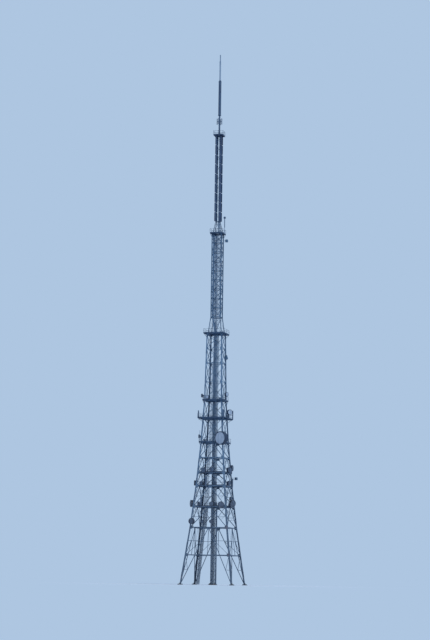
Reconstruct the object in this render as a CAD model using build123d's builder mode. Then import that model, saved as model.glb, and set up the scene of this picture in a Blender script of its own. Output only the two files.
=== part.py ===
from build123d import *
import math
import os

# A self-supporting broadcast tower 152.4 m tall, drawn as a 1:10 model.
# Millimetres, +Z up. The origin is at ground level, under the feeder column.

# Heights of the tower's levels
BASE_LEVEL = 0.0
BELT_LEVEL = 833.0
GIRT_LEVEL = 1596.0
DECK_1_LEVEL = 2172.0
DECK_2_LEVEL = 2749.0
DECK_3_LEVEL = 3126.0
DECK_4_LEVEL = 3971.0
DECK_5_LEVEL = 4650.0
DECK_6_LEVEL = 5161.0
SHAFT_FRAME_LEVEL = 6226.0
DECK_7_LEVEL = 7061.0
MAST_FOOT_LEVEL = 7532.0
DECK_8_LEVEL = 9959.0
PANEL_FOOT_LEVEL = 10308.0
TOP_DECK_LEVEL = 12839.0
SPIRE_FOOT_LEVEL = 13435.0
WHIP_FOOT_LEVEL = 14443.0
TIP_LEVEL = 15240.0

# Half the width of the four-legged tower where its legs change slope
HALF_AT_BASE = 750.0
HALF_AT_GIRT = 545.0
HALF_AT_DECK_2 = 427.0
HALF_AT_DECK_4 = 328.0
HALF_AT_DECK_6 = 262.0
HALF_AT_DECK_7 = 227.0

# Corner legs, rolled angles that get lighter going up
LEG_THICK = 6.0
LEG_FLANGE_BASE = 46.0
LEG_FLANGE_TOP = 32.0

# Leg feet
PLATE_SIDE = 124.0
PLATE_THICK = 10.0
PLATE_HOLE_R = 5.5
PLATE_HOLE_SPACING = 92.0
PLATE_SHIFT = 15.0
GUSSET_THICK = 6.0
GUSSET_REACH = 34.0
GUSSET_RISE = 62.0
FOOT_RISE = 32.0

# Bracing bars in the tower's sides
BRACE_DEPTH = 13.0
MAIN_BAR = 18.0
SHAFT_BAR = 13.0
GIRT_BAR = 20.0
FINE_BAR = 9.0
SEAT_GAP = 0.3
CORNER_GAP = 1.5

# Feeder column in the middle of the tower
COLUMN_HALF = 60.0
COLUMN_POST = 12.0
COLUMN_RING = 8.0
COLUMN_RINGS = 6
FOOT_HALF = 100.0
FOOT_THICK = 14.0
FOOT_GUSSET_RISE = 60.0

# Decks and their guard rails
DECK_THICK = 10.0
WALKWAY = 112.0
SPOKE = 80.0
DECK_4_HALF = 370.0
DECK_5_HALF = 408.0
DECK_6_HALF = 302.0
DECK_7_HALF = 302.0
DECK_8_HALF = 188.0
TOP_DECK_HALF = 139.0
INSET = 8.0
LEG_CUT = 78.0
RAIL_HEIGHT = 112.0
RAIL_BAR = 5.0

# Square mast above the tower
MAST_HALF = 145.0
MAST_POST = 24.0
MAST_BAR = 12.0
MAST_BAYS = 9
SEAT_HALF = 200.0
SEAT_POST = 18.0

# Slim mast that carries the antenna panels
PANEL_MAST_HALF = 60.0
PANEL_MAST_POST = 12.0
PANEL_MAST_BAR = 7.0
PANEL_MAST_RINGS = 4
PANEL_SEAT_HALF = 122.0
TIERS = 9
PANEL_WIDTH = 56.0
PANEL_DEPTH = 24.0
PANEL_GAP = 26.0
PANEL_POLE = 10.0

# Spire
POLE_RADIUS = 24.0
POLE_FLANGE_HALF = 44.0
POLE_PANEL_LEVEL = 13170.0
POLE_PANEL_HEIGHT = 170.0
POLE_PANEL_WIDTH = 34.0
POLE_PANEL_DEPTH = 16.0
POLE_PANEL_STANDOFF = 36.0
SPIRE_RADIUS = 40.0
WHIP_RADIUS = 22.0
WHIP_TIP_RADIUS = 14.0
WHIP_STEP_LEVEL = 15040.0
COLLAR = 14.0

# Large dish on a pipe outside the front right corner of the fourth deck
LARGE_DISH_RADIUS = 185.0
LARGE_DISH_DEPTH = 120.0
LARGE_DISH_BOWL = 60.0
LARGE_DISH_SHEET = 4.0
LARGE_DISH_HUB = 26.0
LARGE_DISH_RISE = 89.0
LARGE_DISH_TURN = -115.0
LARGE_PIPE_RADIUS = 9.0
LARGE_PIPE_CLEAR = 7.0
LARGE_PIPE_ABOVE = 80.0
STANDOFF = 12.0
DISH_SIDES = 28

# Small dishes, panels and whips on pipes along the deck edges
ARM_THICK = 8.0
ARM_WIDTH = 16.0
ARM_SEAT = 20.0
ARM_REACH = 30.0
PIPE_RADIUS = 8.0
HUB_RADIUS = 14.0
HUB_LENGTH = 14.0
DRUM_SIDES = 10
CUT_SPARE = 6.0
PIPE_SIDES = 6
AERIAL_WIDTH = 44.0
AERIAL_DEPTH = 20.0
WHIP_AERIAL_RADIUS = 6.0

SIDES = {"front": 0.0, "right": 90.0, "back": 180.0, "left": 270.0}
CORNERS = {"front_left": 0.0, "front_right": 90.0, "back_right": 180.0, "back_left": 270.0}

SLOPES = [
    (BASE_LEVEL, HALF_AT_BASE),
    (GIRT_LEVEL, HALF_AT_GIRT),
    (DECK_2_LEVEL, HALF_AT_DECK_2),
    (DECK_4_LEVEL, HALF_AT_DECK_4),
    (DECK_6_LEVEL, HALF_AT_DECK_6),
    (DECK_7_LEVEL, HALF_AT_DECK_7),
]


def between(low, high, share):
    return low + (high - low) * share


def tower_half(level):
    """Half the tower's width over its legs at a level."""
    for (low, half_low), (high, half_high) in zip(SLOPES, SLOPES[1:]):
        if level <= high:
            return between(half_low, half_high, (level - low) / (high - low))
    return SLOPES[-1][1]


def leg_flange(level):
    """Width of a leg's flanges at a level."""
    return between(LEG_FLANGE_BASE, LEG_FLANGE_TOP, level / DECK_7_LEVEL)


def save(builder, label):
    """Label a finished piece and write it."""
    builder.part.label = label
    export_step(builder.part, f"parts/{label}.step")


def bar(start, end, width):
    """A straight bar between two points of the sketch that is open."""
    run_x, run_y = end[0] - start[0], end[1] - start[1]
    with Locations(((start[0] + end[0]) / 2, (start[1] + end[1]) / 2)):
        Rectangle(math.hypot(run_x, run_y), width, rotation=math.degrees(math.atan2(run_y, run_x)))


def side_plane(low, high, turn):
    """Plane on the inner face of the leg flanges of one side, between two levels."""
    half_low, half_high = tower_half(low), tower_half(high)
    origin = Vector(0, LEG_THICK - half_low, low).rotate(Axis.Z, turn)
    across = Vector(1, 0, 0).rotate(Axis.Z, turn)
    outward = Vector(0, low - high, half_low - half_high).rotate(Axis.Z, turn)
    return Plane(origin=origin, x_dir=across, z_dir=outward)


class Side:
    """One side of the tower between two levels, measured on its own slope."""

    def __init__(self, low, high):
        self.low, self.high = low, high
        self.slope = math.hypot(high - low, tower_half(low) - tower_half(high)) / (high - low)

    def up(self, level):
        return (level - self.low) * self.slope

    def leg(self, level):
        """Where the middle of the leg's flange stands at a level."""
        return tower_half(level) - leg_flange(level) / 2

    def girt(self, level, width):
        """A level bar from leg to leg, its top edge just under the level."""
        height = self.up(level) - SEAT_GAP - width / 2
        bar((-tower_half(level), height), (tower_half(level), height), width)

    def arch(self, low, high, width):
        """Two bars that rise from the legs to the middle of the girt above."""
        foot, top = self.up(low) - GIRT_BAR / 2, self.up(high) - GIRT_BAR / 2
        for hand in (-1, 1):
            bar((hand * self.leg(low), foot), (0, top), width)

    def cross(self, low, high, width):
        """Two bars that cross from leg to leg."""
        foot, top = self.up(low) - GIRT_BAR / 2, self.up(high) - GIRT_BAR / 2
        for hand in (-1, 1):
            bar((hand * self.leg(low), foot), (-hand * self.leg(high), top), width)

    def knees(self, low, high, width):
        """Short bars from the middle of each arch bar out to its leg."""
        middle, foot, top = (low + high) / 2, self.up(low) - GIRT_BAR / 2, self.up(high) - GIRT_BAR / 2
        for hand in (-1, 1):
            joint = (hand * self.leg(low) / 2, (foot + top) / 2)
            bar(joint, (hand * self.leg(middle), self.up(middle)), width)
            bar(joint, (hand * self.leg(high), top), width)

    def clip(self):
        """Trim the bars short of the bracing in the sides next to this one."""
        margin = LEG_THICK + BRACE_DEPTH + CORNER_GAP
        low_x, high_x = tower_half(self.low) - margin, tower_half(self.high) - margin
        foot, top = SEAT_GAP, self.up(self.high) - SEAT_GAP
        Polygon((-low_x, foot), (low_x, foot), (high_x, top), (-high_x, top), align=None, mode=Mode.INTERSECT)


def base_bars(side):
    side.girt(BELT_LEVEL, GIRT_BAR)
    side.girt(GIRT_LEVEL, GIRT_BAR)
    side.arch(BASE_LEVEL + PLATE_THICK + FOOT_RISE, GIRT_LEVEL, MAIN_BAR)
    middle = side.up(BELT_LEVEL) - GIRT_BAR / 2
    bar((0, middle), (0, side.up(GIRT_LEVEL) - GIRT_BAR / 2), FINE_BAR)
    quarter = (BASE_LEVEL + BELT_LEVEL) / 2
    upper = (BELT_LEVEL + GIRT_LEVEL) / 2
    for hand in (-1, 1):
        low_joint = (hand * side.leg(BASE_LEVEL) * 0.75, side.up(quarter))
        high_joint = (hand * side.leg(BASE_LEVEL) * 0.25, side.up(upper))
        bar((hand * side.leg(quarter), side.up(quarter)), low_joint, FINE_BAR)
        bar(low_joint, (hand * side.leg(BELT_LEVEL), middle), FINE_BAR)
        bar(high_joint, (hand * side.leg(BELT_LEVEL), middle), FINE_BAR)
        bar(high_joint, (hand * side.leg(upper), side.up(upper)), FINE_BAR)


def lower_bars(side):
    for low, high in ((GIRT_LEVEL, DECK_1_LEVEL), (DECK_1_LEVEL, DECK_2_LEVEL)):
        side.girt(high, GIRT_BAR)
        side.arch(low, high, MAIN_BAR)
        side.knees(low, high, FINE_BAR)


def middle_bars(side):
    half_way = (DECK_3_LEVEL + DECK_4_LEVEL) / 2
    for low, high in ((DECK_2_LEVEL, DECK_3_LEVEL), (DECK_3_LEVEL, half_way), (half_way, DECK_4_LEVEL)):
        side.girt(high, GIRT_BAR)
        side.arch(low, high, MAIN_BAR)


def neck_bars(side):
    for low, high in ((DECK_4_LEVEL, DECK_5_LEVEL), (DECK_5_LEVEL, DECK_6_LEVEL)):
        side.girt(high, GIRT_BAR)
        side.cross(low, high, SHAFT_BAR)


def shaft_bars(side):
    lower_frame = (DECK_6_LEVEL + SHAFT_FRAME_LEVEL) / 2
    upper_frame = (SHAFT_FRAME_LEVEL + DECK_7_LEVEL) / 2
    frames = (DECK_6_LEVEL, lower_frame, SHAFT_FRAME_LEVEL, upper_frame, DECK_7_LEVEL)
    for low, high in zip(frames, frames[1:]):
        side.girt(high, SHAFT_BAR)
        side.cross(low, high, SHAFT_BAR)


os.makedirs("parts", exist_ok=True)

# Corner legs
leg_levels = [PLATE_THICK] + [level for level, half in SLOPES[1:]]
for corner, turn in CORNERS.items():
    with BuildPart() as leg:
        for level in leg_levels:
            edge, flange = -tower_half(level), leg_flange(level)
            with BuildSketch(Plane.XY.offset(level).rotated((0, 0, turn))):
                with BuildLine():
                    Polyline(
                        (edge, edge),
                        (edge + flange, edge),
                        (edge + flange, edge + LEG_THICK),
                        (edge + LEG_THICK, edge + LEG_THICK),
                        (edge + LEG_THICK, edge + flange),
                        (edge, edge + flange),
                        close=True,
                    )
                make_face()
        loft(ruled=True)
    save(leg, f"leg_{corner}")

# Base plates with their holding-down holes and gussets
plate_middle = HALF_AT_BASE - PLATE_SHIFT
with BuildPart() as base_plates:
    with BuildSketch():
        with GridLocations(2 * plate_middle, 2 * plate_middle, 2, 2):
            Rectangle(PLATE_SIDE, PLATE_SIDE)
            with GridLocations(PLATE_HOLE_SPACING, PLATE_HOLE_SPACING, 2, 2):
                Circle(PLATE_HOLE_R, mode=Mode.SUBTRACT)
    extrude(amount=PLATE_THICK)
    gusset_top = PLATE_THICK + GUSSET_RISE
    for turn in SIDES.values():
        for hand in (-1, 1):
            gusset_plane = Plane(
                origin=Vector(hand * plate_middle, 0, 0).rotate(Axis.Z, turn),
                x_dir=Vector(0, -1, 0).rotate(Axis.Z, turn),
                z_dir=Vector(1, 0, 0).rotate(Axis.Z, turn),
            )
            with BuildSketch(gusset_plane):
                with BuildLine():
                    Polyline(
                        (tower_half(PLATE_THICK), -PLATE_THICK),
                        (tower_half(PLATE_THICK) + GUSSET_REACH, -PLATE_THICK),
                        (tower_half(gusset_top), -gusset_top),
                        close=True,
                    )
                make_face()
            extrude(amount=GUSSET_THICK / 2, both=True)
save(base_plates, "leg_base_plates")

# Sides of the tower, section by section
for name, low, high, bars in (
    ("base_side", BASE_LEVEL, GIRT_LEVEL, base_bars),
    ("lower_side", GIRT_LEVEL, DECK_2_LEVEL, lower_bars),
    ("middle_side", DECK_2_LEVEL, DECK_4_LEVEL, middle_bars),
):
    for side_name, turn in SIDES.items():
        with BuildPart() as side_frame:
            with BuildSketch(side_plane(low, high, turn)):
                side = Side(low, high)
                bars(side)
                side.clip()
            extrude(amount=-BRACE_DEPTH)
        save(side_frame, f"{name}_{side_name}")

for name, low, high, bars in (
    ("neck_sides", DECK_4_LEVEL, DECK_6_LEVEL, neck_bars),
    ("shaft_sides", DECK_6_LEVEL, DECK_7_LEVEL, shaft_bars),
):
    for pair_name, pair in (("front_back", ("front", "back")), ("left_right", ("left", "right"))):
        with BuildPart() as side_frames:
            for side_name in pair:
                with BuildSketch(side_plane(low, high, SIDES[side_name])):
                    side = Side(low, high)
                    bars(side)
                    side.clip()
                extrude(amount=-BRACE_DEPTH)
        save(side_frames, f"{name}_{pair_name}")

# Feeder column
with BuildPart() as column_foot:
    with BuildSketch():
        Rectangle(2 * FOOT_HALF, 2 * FOOT_HALF)
    extrude(amount=FOOT_THICK)
    foot_place = COLUMN_HALF - COLUMN_POST / 2
    for turn in SIDES.values():
        for hand in (-1, 1):
            gusset_plane = Plane(
                origin=Vector(hand * foot_place, 0, 0).rotate(Axis.Z, turn),
                x_dir=Vector(0, -1, 0).rotate(Axis.Z, turn),
                z_dir=Vector(1, 0, 0).rotate(Axis.Z, turn),
            )
            with BuildSketch(gusset_plane):
                with BuildLine():
                    Polyline(
                        (COLUMN_HALF, -FOOT_THICK),
                        (FOOT_HALF, -FOOT_THICK),
                        (COLUMN_HALF, -FOOT_THICK - FOOT_GUSSET_RISE),
                        close=True,
                    )
                make_face()
            extrude(amount=GUSSET_THICK / 2, both=True)
save(column_foot, "column_foot")

column_height = DECK_7_LEVEL - FOOT_THICK
with BuildPart() as feeder_column:
    with BuildSketch(Plane.XY.offset(FOOT_THICK)):
        with GridLocations(2 * COLUMN_HALF - COLUMN_POST, 2 * COLUMN_HALF - COLUMN_POST, 2, 2):
            Rectangle(COLUMN_POST, COLUMN_POST)
    extrude(amount=column_height)
    for step in range(COLUMN_RINGS + 1):
        ring_level = FOOT_THICK + step * (column_height - COLUMN_RING) / COLUMN_RINGS
        with BuildSketch(Plane.XY.offset(ring_level)):
            Rectangle(2 * COLUMN_HALF, 2 * COLUMN_HALF)
            Rectangle(2 * (COLUMN_HALF - COLUMN_RING), 2 * (COLUMN_HALF - COLUMN_RING), mode=Mode.SUBTRACT)
        extrude(amount=COLUMN_RING)
save(feeder_column, "feeder_column")


def rails(level, half, span, bays):
    """Guard rails along the four edges of a deck, each as long as span."""
    for turn in SIDES.values():
        rail_plane = Plane(
            origin=Vector(0, -half, level + DECK_THICK).rotate(Axis.Z, turn),
            x_dir=Vector(1, 0, 0).rotate(Axis.Z, turn),
            z_dir=Vector(0, -1, 0).rotate(Axis.Z, turn),
        )
        with BuildSketch(rail_plane) as rail:
            with Locations((0, RAIL_HEIGHT - RAIL_BAR / 2)):
                Rectangle(span, RAIL_BAR)
            with Locations((0, RAIL_HEIGHT / 2)):
                with GridLocations((span - RAIL_BAR) / bays, 0, bays + 1, 1):
                    Rectangle(RAIL_BAR, RAIL_HEIGHT)
        extrude(rail.sketch, amount=-RAIL_BAR)


def rail_half_inside(level):
    """How far out guard rails may stand inside the bracing, which leans in above the deck."""
    return tower_half(level + DECK_THICK + RAIL_HEIGHT) - LEG_THICK - BRACE_DEPTH - CORNER_GAP


# Decks of the four-legged tower: a walkway round the edge, a landing round the column, and spokes
column_room = COLUMN_HALF + SEAT_GAP
for name, level, half, inside, bays in (
    ("first_deck", DECK_1_LEVEL, tower_half(DECK_1_LEVEL) - INSET, True, 3),
    ("second_deck", DECK_2_LEVEL, tower_half(DECK_2_LEVEL) - INSET, True, 3),
    ("third_deck", DECK_3_LEVEL, tower_half(DECK_3_LEVEL) - INSET, True, 2),
    ("fourth_deck", DECK_4_LEVEL, DECK_4_HALF, False, 3),
    ("fifth_deck", DECK_5_LEVEL, DECK_5_HALF, False, 3),
    ("sixth_deck", DECK_6_LEVEL, DECK_6_HALF, False, 2),
):
    leg_inner = tower_half(level) - LEG_CUT
    leg_outer = tower_half(level) + (0 if inside else CORNER_GAP)
    with BuildPart() as deck:
        with BuildSketch(Plane.XY.offset(level)):
            Rectangle(2 * half, 2 * half)
            Rectangle(2 * (half - WALKWAY), 2 * (half - WALKWAY), mode=Mode.SUBTRACT)
            Rectangle(2 * half - RAIL_BAR, SPOKE)
            Rectangle(SPOKE, 2 * half - RAIL_BAR)
            Rectangle(2 * column_room + SPOKE, 2 * column_room + SPOKE)
            Rectangle(2 * column_room, 2 * column_room, mode=Mode.SUBTRACT)
            with GridLocations(leg_inner + leg_outer, leg_inner + leg_outer, 2, 2):
                Rectangle(leg_outer - leg_inner, leg_outer - leg_inner, mode=Mode.SUBTRACT)
        extrude(amount=DECK_THICK)
        rail_half = rail_half_inside(level) if inside else half
        rails(level, rail_half, 2 * leg_inner if inside else 2 * half, bays)
    save(deck, name)

# Seventh deck, on top of the legs
with BuildPart() as seventh_deck:
    with BuildSketch(Plane.XY.offset(DECK_7_LEVEL)):
        Rectangle(2 * DECK_7_HALF, 2 * DECK_7_HALF)
        Rectangle(2 * (DECK_7_HALF - WALKWAY), 2 * (DECK_7_HALF - WALKWAY), mode=Mode.SUBTRACT)
        Rectangle(2 * DECK_7_HALF - RAIL_BAR, SPOKE)
        Rectangle(SPOKE, 2 * DECK_7_HALF - RAIL_BAR)
        Rectangle(2 * COLUMN_HALF + SPOKE, 2 * COLUMN_HALF + SPOKE)
        Rectangle(2 * COLUMN_HALF - 2 * COLUMN_POST, 2 * COLUMN_HALF - 2 * COLUMN_POST, mode=Mode.SUBTRACT)
    extrude(amount=DECK_THICK)
    rails(DECK_7_LEVEL, DECK_7_HALF, 2 * DECK_7_HALF, 2)
save(seventh_deck, "seventh_deck")


def hopper(low, high, half_low, half_high, post, ring):
    """Four leaning posts between two square rings, the upper ring narrower."""
    for turn in CORNERS.values():
        for level, half in ((low, half_low), (high, half_high)):
            with BuildSketch(Plane.XY.offset(level).rotated((0, 0, turn))) as post_end:
                with Locations((post / 2 - half, post / 2 - half)):
                    Rectangle(post, post)
            add(post_end.sketch)
        loft(ruled=True)
    for level, half in ((low, half_low), (high - ring, half_high)):
        with BuildSketch(Plane.XY.offset(level)) as frame:
            Rectangle(2 * half, 2 * half)
            Rectangle(2 * (half - post), 2 * (half - post), mode=Mode.SUBTRACT)
        extrude(frame.sketch, amount=ring)


mast_seat_foot = DECK_7_LEVEL + DECK_THICK
with BuildPart() as mast_seat:
    hopper(mast_seat_foot, MAST_FOOT_LEVEL, SEAT_HALF, MAST_HALF, SEAT_POST, MAST_BAR)
save(mast_seat, "mast_seat")

# Square mast, braced with zigzag bars
with BuildPart() as upper_mast:
    mast_height = DECK_8_LEVEL - MAST_FOOT_LEVEL
    bay = mast_height / MAST_BAYS
    post_place = MAST_HALF - MAST_POST / 2
    with BuildSketch(Plane.XY.offset(MAST_FOOT_LEVEL)):
        with GridLocations(2 * post_place, 2 * post_place, 2, 2):
            Rectangle(MAST_POST, MAST_POST)
    extrude(amount=mast_height)
    for number, turn in enumerate(SIDES.values()):
        mast_plane = Plane(
            origin=Vector(0, MAST_BAR / 2 - post_place, MAST_FOOT_LEVEL).rotate(Axis.Z, turn),
            x_dir=Vector(1, 0, 0).rotate(Axis.Z, turn),
            z_dir=Vector(0, -1, 0).rotate(Axis.Z, turn),
        )
        with BuildSketch(mast_plane):
            for step in range(MAST_BAYS + 1):
                height = MAST_BAR / 2 + step * (mast_height - MAST_BAR) / MAST_BAYS
                bar((-post_place, height), (post_place, height), MAST_BAR)
            for step in range(MAST_BAYS):
                hand = 1 if (step + number) % 2 else -1
                upper_end = (hand * post_place, (step + 1) * bay)
                bar((-hand * post_place, step * bay + MAST_BAR), upper_end, MAST_BAR)
            with Locations((0, mast_height / 2)):
                Rectangle(2 * post_place, mast_height, mode=Mode.INTERSECT)
        extrude(amount=MAST_BAR)
save(upper_mast, "upper_mast")

with BuildPart() as eighth_deck:
    with BuildSketch(Plane.XY.offset(DECK_8_LEVEL)):
        Rectangle(2 * DECK_8_HALF, 2 * DECK_8_HALF)
        Rectangle(2 * COLUMN_HALF, 2 * COLUMN_HALF, mode=Mode.SUBTRACT)
    extrude(amount=DECK_THICK)
    rails(DECK_8_LEVEL, DECK_8_HALF, 2 * DECK_8_HALF, 2)
save(eighth_deck, "eighth_deck")

panel_seat_foot = DECK_8_LEVEL + DECK_THICK
with BuildPart() as panel_seat:
    halves = (PANEL_SEAT_HALF, PANEL_MAST_HALF)
    hopper(panel_seat_foot, PANEL_FOOT_LEVEL, *halves, PANEL_MAST_POST, PANEL_MAST_BAR)
save(panel_seat, "panel_seat")

# Slim mast: four posts set cornerwise, tied by rings
panel_height = TOP_DECK_LEVEL - PANEL_FOOT_LEVEL
tier = panel_height / TIERS
slim_post_place = PANEL_MAST_HALF - PANEL_MAST_POST / 2
with BuildPart() as panel_mast:
    with BuildSketch(Plane.XY.offset(PANEL_FOOT_LEVEL)):
        with GridLocations(2 * slim_post_place, 2 * slim_post_place, 2, 2):
            Rectangle(PANEL_MAST_POST, PANEL_MAST_POST, rotation=45)
    extrude(amount=panel_height)
    ring_outer = 2 * slim_post_place + PANEL_MAST_BAR
    for step in range(PANEL_MAST_RINGS + 1):
        ring_rise = step * (panel_height - PANEL_MAST_BAR) / PANEL_MAST_RINGS
        with BuildSketch(Plane.XY.offset(PANEL_FOOT_LEVEL + ring_rise)):
            Rectangle(ring_outer, ring_outer)
            Rectangle(ring_outer - 2 * PANEL_MAST_BAR, ring_outer - 2 * PANEL_MAST_BAR, mode=Mode.SUBTRACT)
        extrude(amount=PANEL_MAST_BAR)
save(panel_mast, "panel_mast")

# Antenna panels, a stack at each corner on its own pole
pole_place = math.sqrt(2) * slim_post_place + PANEL_MAST_POST / 2 + PANEL_POLE / 2
with BuildPart() as antenna_panels:
    with BuildSketch(Plane.XY.offset(PANEL_FOOT_LEVEL)):
        with PolarLocations(pole_place, 4, start_angle=45):
            Rectangle(PANEL_POLE, PANEL_POLE)
    extrude(amount=panel_height - SEAT_GAP)
    for step in range(TIERS):
        with BuildSketch(Plane.XY.offset(PANEL_FOOT_LEVEL + step * tier + PANEL_GAP / 2)):
            with PolarLocations(pole_place + PANEL_POLE / 2 + PANEL_DEPTH / 2, 4, start_angle=45):
                Trapezoid(PANEL_WIDTH, PANEL_DEPTH, 70, rotation=-90)
        extrude(amount=tier - PANEL_GAP)
save(antenna_panels, "antenna_panels")

with BuildPart() as top_deck:
    with BuildSketch(Plane.XY.offset(TOP_DECK_LEVEL)):
        Rectangle(2 * TOP_DECK_HALF, 2 * TOP_DECK_HALF)
    extrude(amount=DECK_THICK)
    rails(TOP_DECK_LEVEL, TOP_DECK_HALF, 2 * TOP_DECK_HALF, 2)
save(top_deck, "top_deck")

# Spire: a slim flanged pole, a stout cylinder and a whip in two lengths
pole_foot = TOP_DECK_LEVEL + DECK_THICK
with BuildPart() as spire_pole:
    with BuildSketch(Plane.XY.offset(pole_foot)):
        Rectangle(2 * POLE_FLANGE_HALF, 2 * POLE_FLANGE_HALF)
    extrude(amount=COLLAR)
    with BuildSketch(Plane.XY.offset(pole_foot)):
        Circle(POLE_RADIUS)
    extrude(amount=SPIRE_FOOT_LEVEL - pole_foot)
save(spire_pole, "spire_pole")

with BuildPart() as spire:
    with BuildSketch(Plane.XY.offset(SPIRE_FOOT_LEVEL)):
        Circle(SPIRE_RADIUS)
    extrude(amount=WHIP_FOOT_LEVEL - SPIRE_FOOT_LEVEL)
save(spire, "spire")

with BuildPart() as whip:
    for low, high, radius in (
        (WHIP_FOOT_LEVEL, WHIP_STEP_LEVEL, WHIP_RADIUS),
        (WHIP_STEP_LEVEL, TIP_LEVEL, WHIP_TIP_RADIUS),
    ):
        with BuildSketch(Plane.XY.offset(low)):
            Circle(radius)
        extrude(amount=high - low)
save(whip, "whip")


def spun_body(origin, facing, sides, outline, face):
    """A many-sided solid with flat sides that widens along its outline and runs straight to its face.

    The outline is a list of (place along the axis, radius) from the back to the widest place.
    """
    back, widest = outline[0][0], outline[-1][1]
    flat = math.cos(math.pi / sides)
    corners = [(place, radius * flat) for place, radius in outline]
    spare = [(outline[-1][0], widest + CUT_SPARE), (back - CUT_SPARE, widest + CUT_SPARE)]
    upright = Vector(0, 0, 1)
    with BuildPart(mode=Mode.PRIVATE) as body:
        with BuildSketch(Plane(origin=origin + facing * back, x_dir=upright, z_dir=facing)):
            RegularPolygon(widest, sides)
        extrude(amount=face - back)
        for number in range(sides):
            spoke = upright.rotate(Axis(origin, facing), (number + 0.5) * 360 / sides)
            with BuildSketch(Plane(origin=origin, x_dir=facing, z_dir=facing.cross(spoke))):
                with BuildLine():
                    Polyline(*corners, *spare, (back - CUT_SPARE, corners[0][1]), close=True)
                make_face()
        extrude(amount=widest * math.tan(math.pi / sides) + CUT_SPARE, both=True, mode=Mode.SUBTRACT)
    return body.part


# Large shrouded dish, a thin bowl on a pipe, and the bracket under the deck's corner
pipe_place = DECK_4_HALF + LARGE_PIPE_CLEAR + LARGE_PIPE_RADIUS
dish_facing = Vector(1, 0, 0).rotate(Axis.Z, LARGE_DISH_TURN)
dish_origin = Vector(pipe_place, -pipe_place, DECK_4_LEVEL + LARGE_DISH_RISE)
bowl_back = LARGE_PIPE_RADIUS + STANDOFF
bowl_rim = bowl_back + LARGE_DISH_BOWL
bowl_middle = bowl_back + LARGE_DISH_BOWL / 4
with BuildPart() as large_dish:
    half_radius = LARGE_DISH_RADIUS / 2
    outside = [(bowl_back, LARGE_DISH_HUB), (bowl_middle, half_radius), (bowl_rim, LARGE_DISH_RADIUS)]
    inside = [
        (bowl_back + LARGE_DISH_SHEET, LARGE_DISH_HUB),
        (bowl_middle + LARGE_DISH_SHEET, half_radius),
        (bowl_rim + LARGE_DISH_SHEET, LARGE_DISH_RADIUS - LARGE_DISH_SHEET),
    ]
    shroud_face = bowl_rim + LARGE_DISH_DEPTH
    add(spun_body(dish_origin, dish_facing, DISH_SIDES, outside, shroud_face))
    add(spun_body(dish_origin, dish_facing, DISH_SIDES, inside, shroud_face), mode=Mode.SUBTRACT)
    with BuildSketch(Plane(origin=dish_origin, z_dir=dish_facing)):
        RegularPolygon(LARGE_DISH_HUB, DRUM_SIDES)
    extrude(amount=bowl_back)
    with BuildSketch(Plane.XY.offset(DECK_4_LEVEL - ARM_THICK)):
        with Locations((pipe_place, -pipe_place)):
            RegularPolygon(LARGE_PIPE_RADIUS, PIPE_SIDES)
    extrude(amount=ARM_THICK + LARGE_DISH_RISE + LARGE_PIPE_ABOVE)
    bracket_inner = DECK_4_HALF - ARM_REACH
    bracket_outer = pipe_place + LARGE_PIPE_RADIUS
    with BuildSketch(Plane.XY.offset(DECK_4_LEVEL - ARM_THICK)):
        with Locations(((bracket_inner + bracket_outer) / 2, -(bracket_inner + bracket_outer) / 2)):
            Rectangle(bracket_outer - bracket_inner, bracket_outer - bracket_inner)
    extrude(amount=ARM_THICK)
save(large_dish, "large_dish")


class Perch:
    """A place on a deck's edge: an arm on or under the deck that carries a pipe outside it."""

    def __init__(self, deck, side, along):
        self.level, half, inside = deck
        self.turn = SIDES[side]
        self.along = along
        outer = tower_half(self.level) if inside else half
        self.seat = half - ARM_SEAT
        self.out = outer + ARM_REACH
        self.arm_level = self.level + DECK_THICK if inside else self.level - ARM_THICK

    def point(self, out):
        return Vector(self.along, -out, 0).rotate(Axis.Z, self.turn)

    def arm_and_pipe(self, top):
        """Add the arm and a pipe up to a height above the deck."""
        with BuildSketch(Plane.XY.offset(self.arm_level).rotated((0, 0, self.turn))) as arm:
            with Locations((self.along, -(self.seat + self.out) / 2)):
                Rectangle(ARM_WIDTH, self.out - self.seat)
        extrude(arm.sketch, amount=ARM_THICK)
        place = self.point(self.out)
        with BuildSketch(Plane.XY.offset(self.arm_level)) as pipe:
            with Locations((place.X, place.Y)):
                RegularPolygon(PIPE_RADIUS, PIPE_SIDES)
        extrude(pipe.sketch, amount=self.level + top - self.arm_level)

    def dish(self, height, yaw, radius, depth):
        """Add a drum dish that looks outward, turned by yaw, its centre height above the deck."""
        self.arm_and_pipe(height + HUB_RADIUS + PIPE_RADIUS)
        facing = Vector(0, -1, 0).rotate(Axis.Z, self.turn + yaw)
        origin = self.point(self.out) + Vector(0, 0, self.level + height)
        rim = HUB_LENGTH + radius / 4
        face = rim + depth
        outline = [(HUB_LENGTH, HUB_RADIUS), (rim, radius)]
        add(spun_body(origin, facing, DRUM_SIDES, outline, face))
        with BuildSketch(Plane(origin=origin, z_dir=facing)) as hub:
            RegularPolygon(HUB_RADIUS, PIPE_SIDES)
        extrude(hub.sketch, amount=HUB_LENGTH)

    def panel(self, foot, height):
        """Add a slim upright panel in front of the pipe."""
        self.arm_and_pipe(foot + height - AERIAL_DEPTH)
        with BuildSketch(Plane.XY.offset(self.level + foot).rotated((0, 0, self.turn))) as box:
            with Locations((self.along, -self.out - AERIAL_DEPTH / 2)):
                Rectangle(AERIAL_WIDTH, AERIAL_DEPTH)
        extrude(box.sketch, amount=height)

    def whip(self, length):
        """Add a thin rod on top of the pipe."""
        self.arm_and_pipe(length / 3)
        place = self.point(self.out)
        with BuildSketch(Plane.XY.offset(self.level)) as rod:
            with Locations((place.X, place.Y)):
                RegularPolygon(WHIP_AERIAL_RADIUS, PIPE_SIDES)
        extrude(rod.sketch, amount=length)


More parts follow.
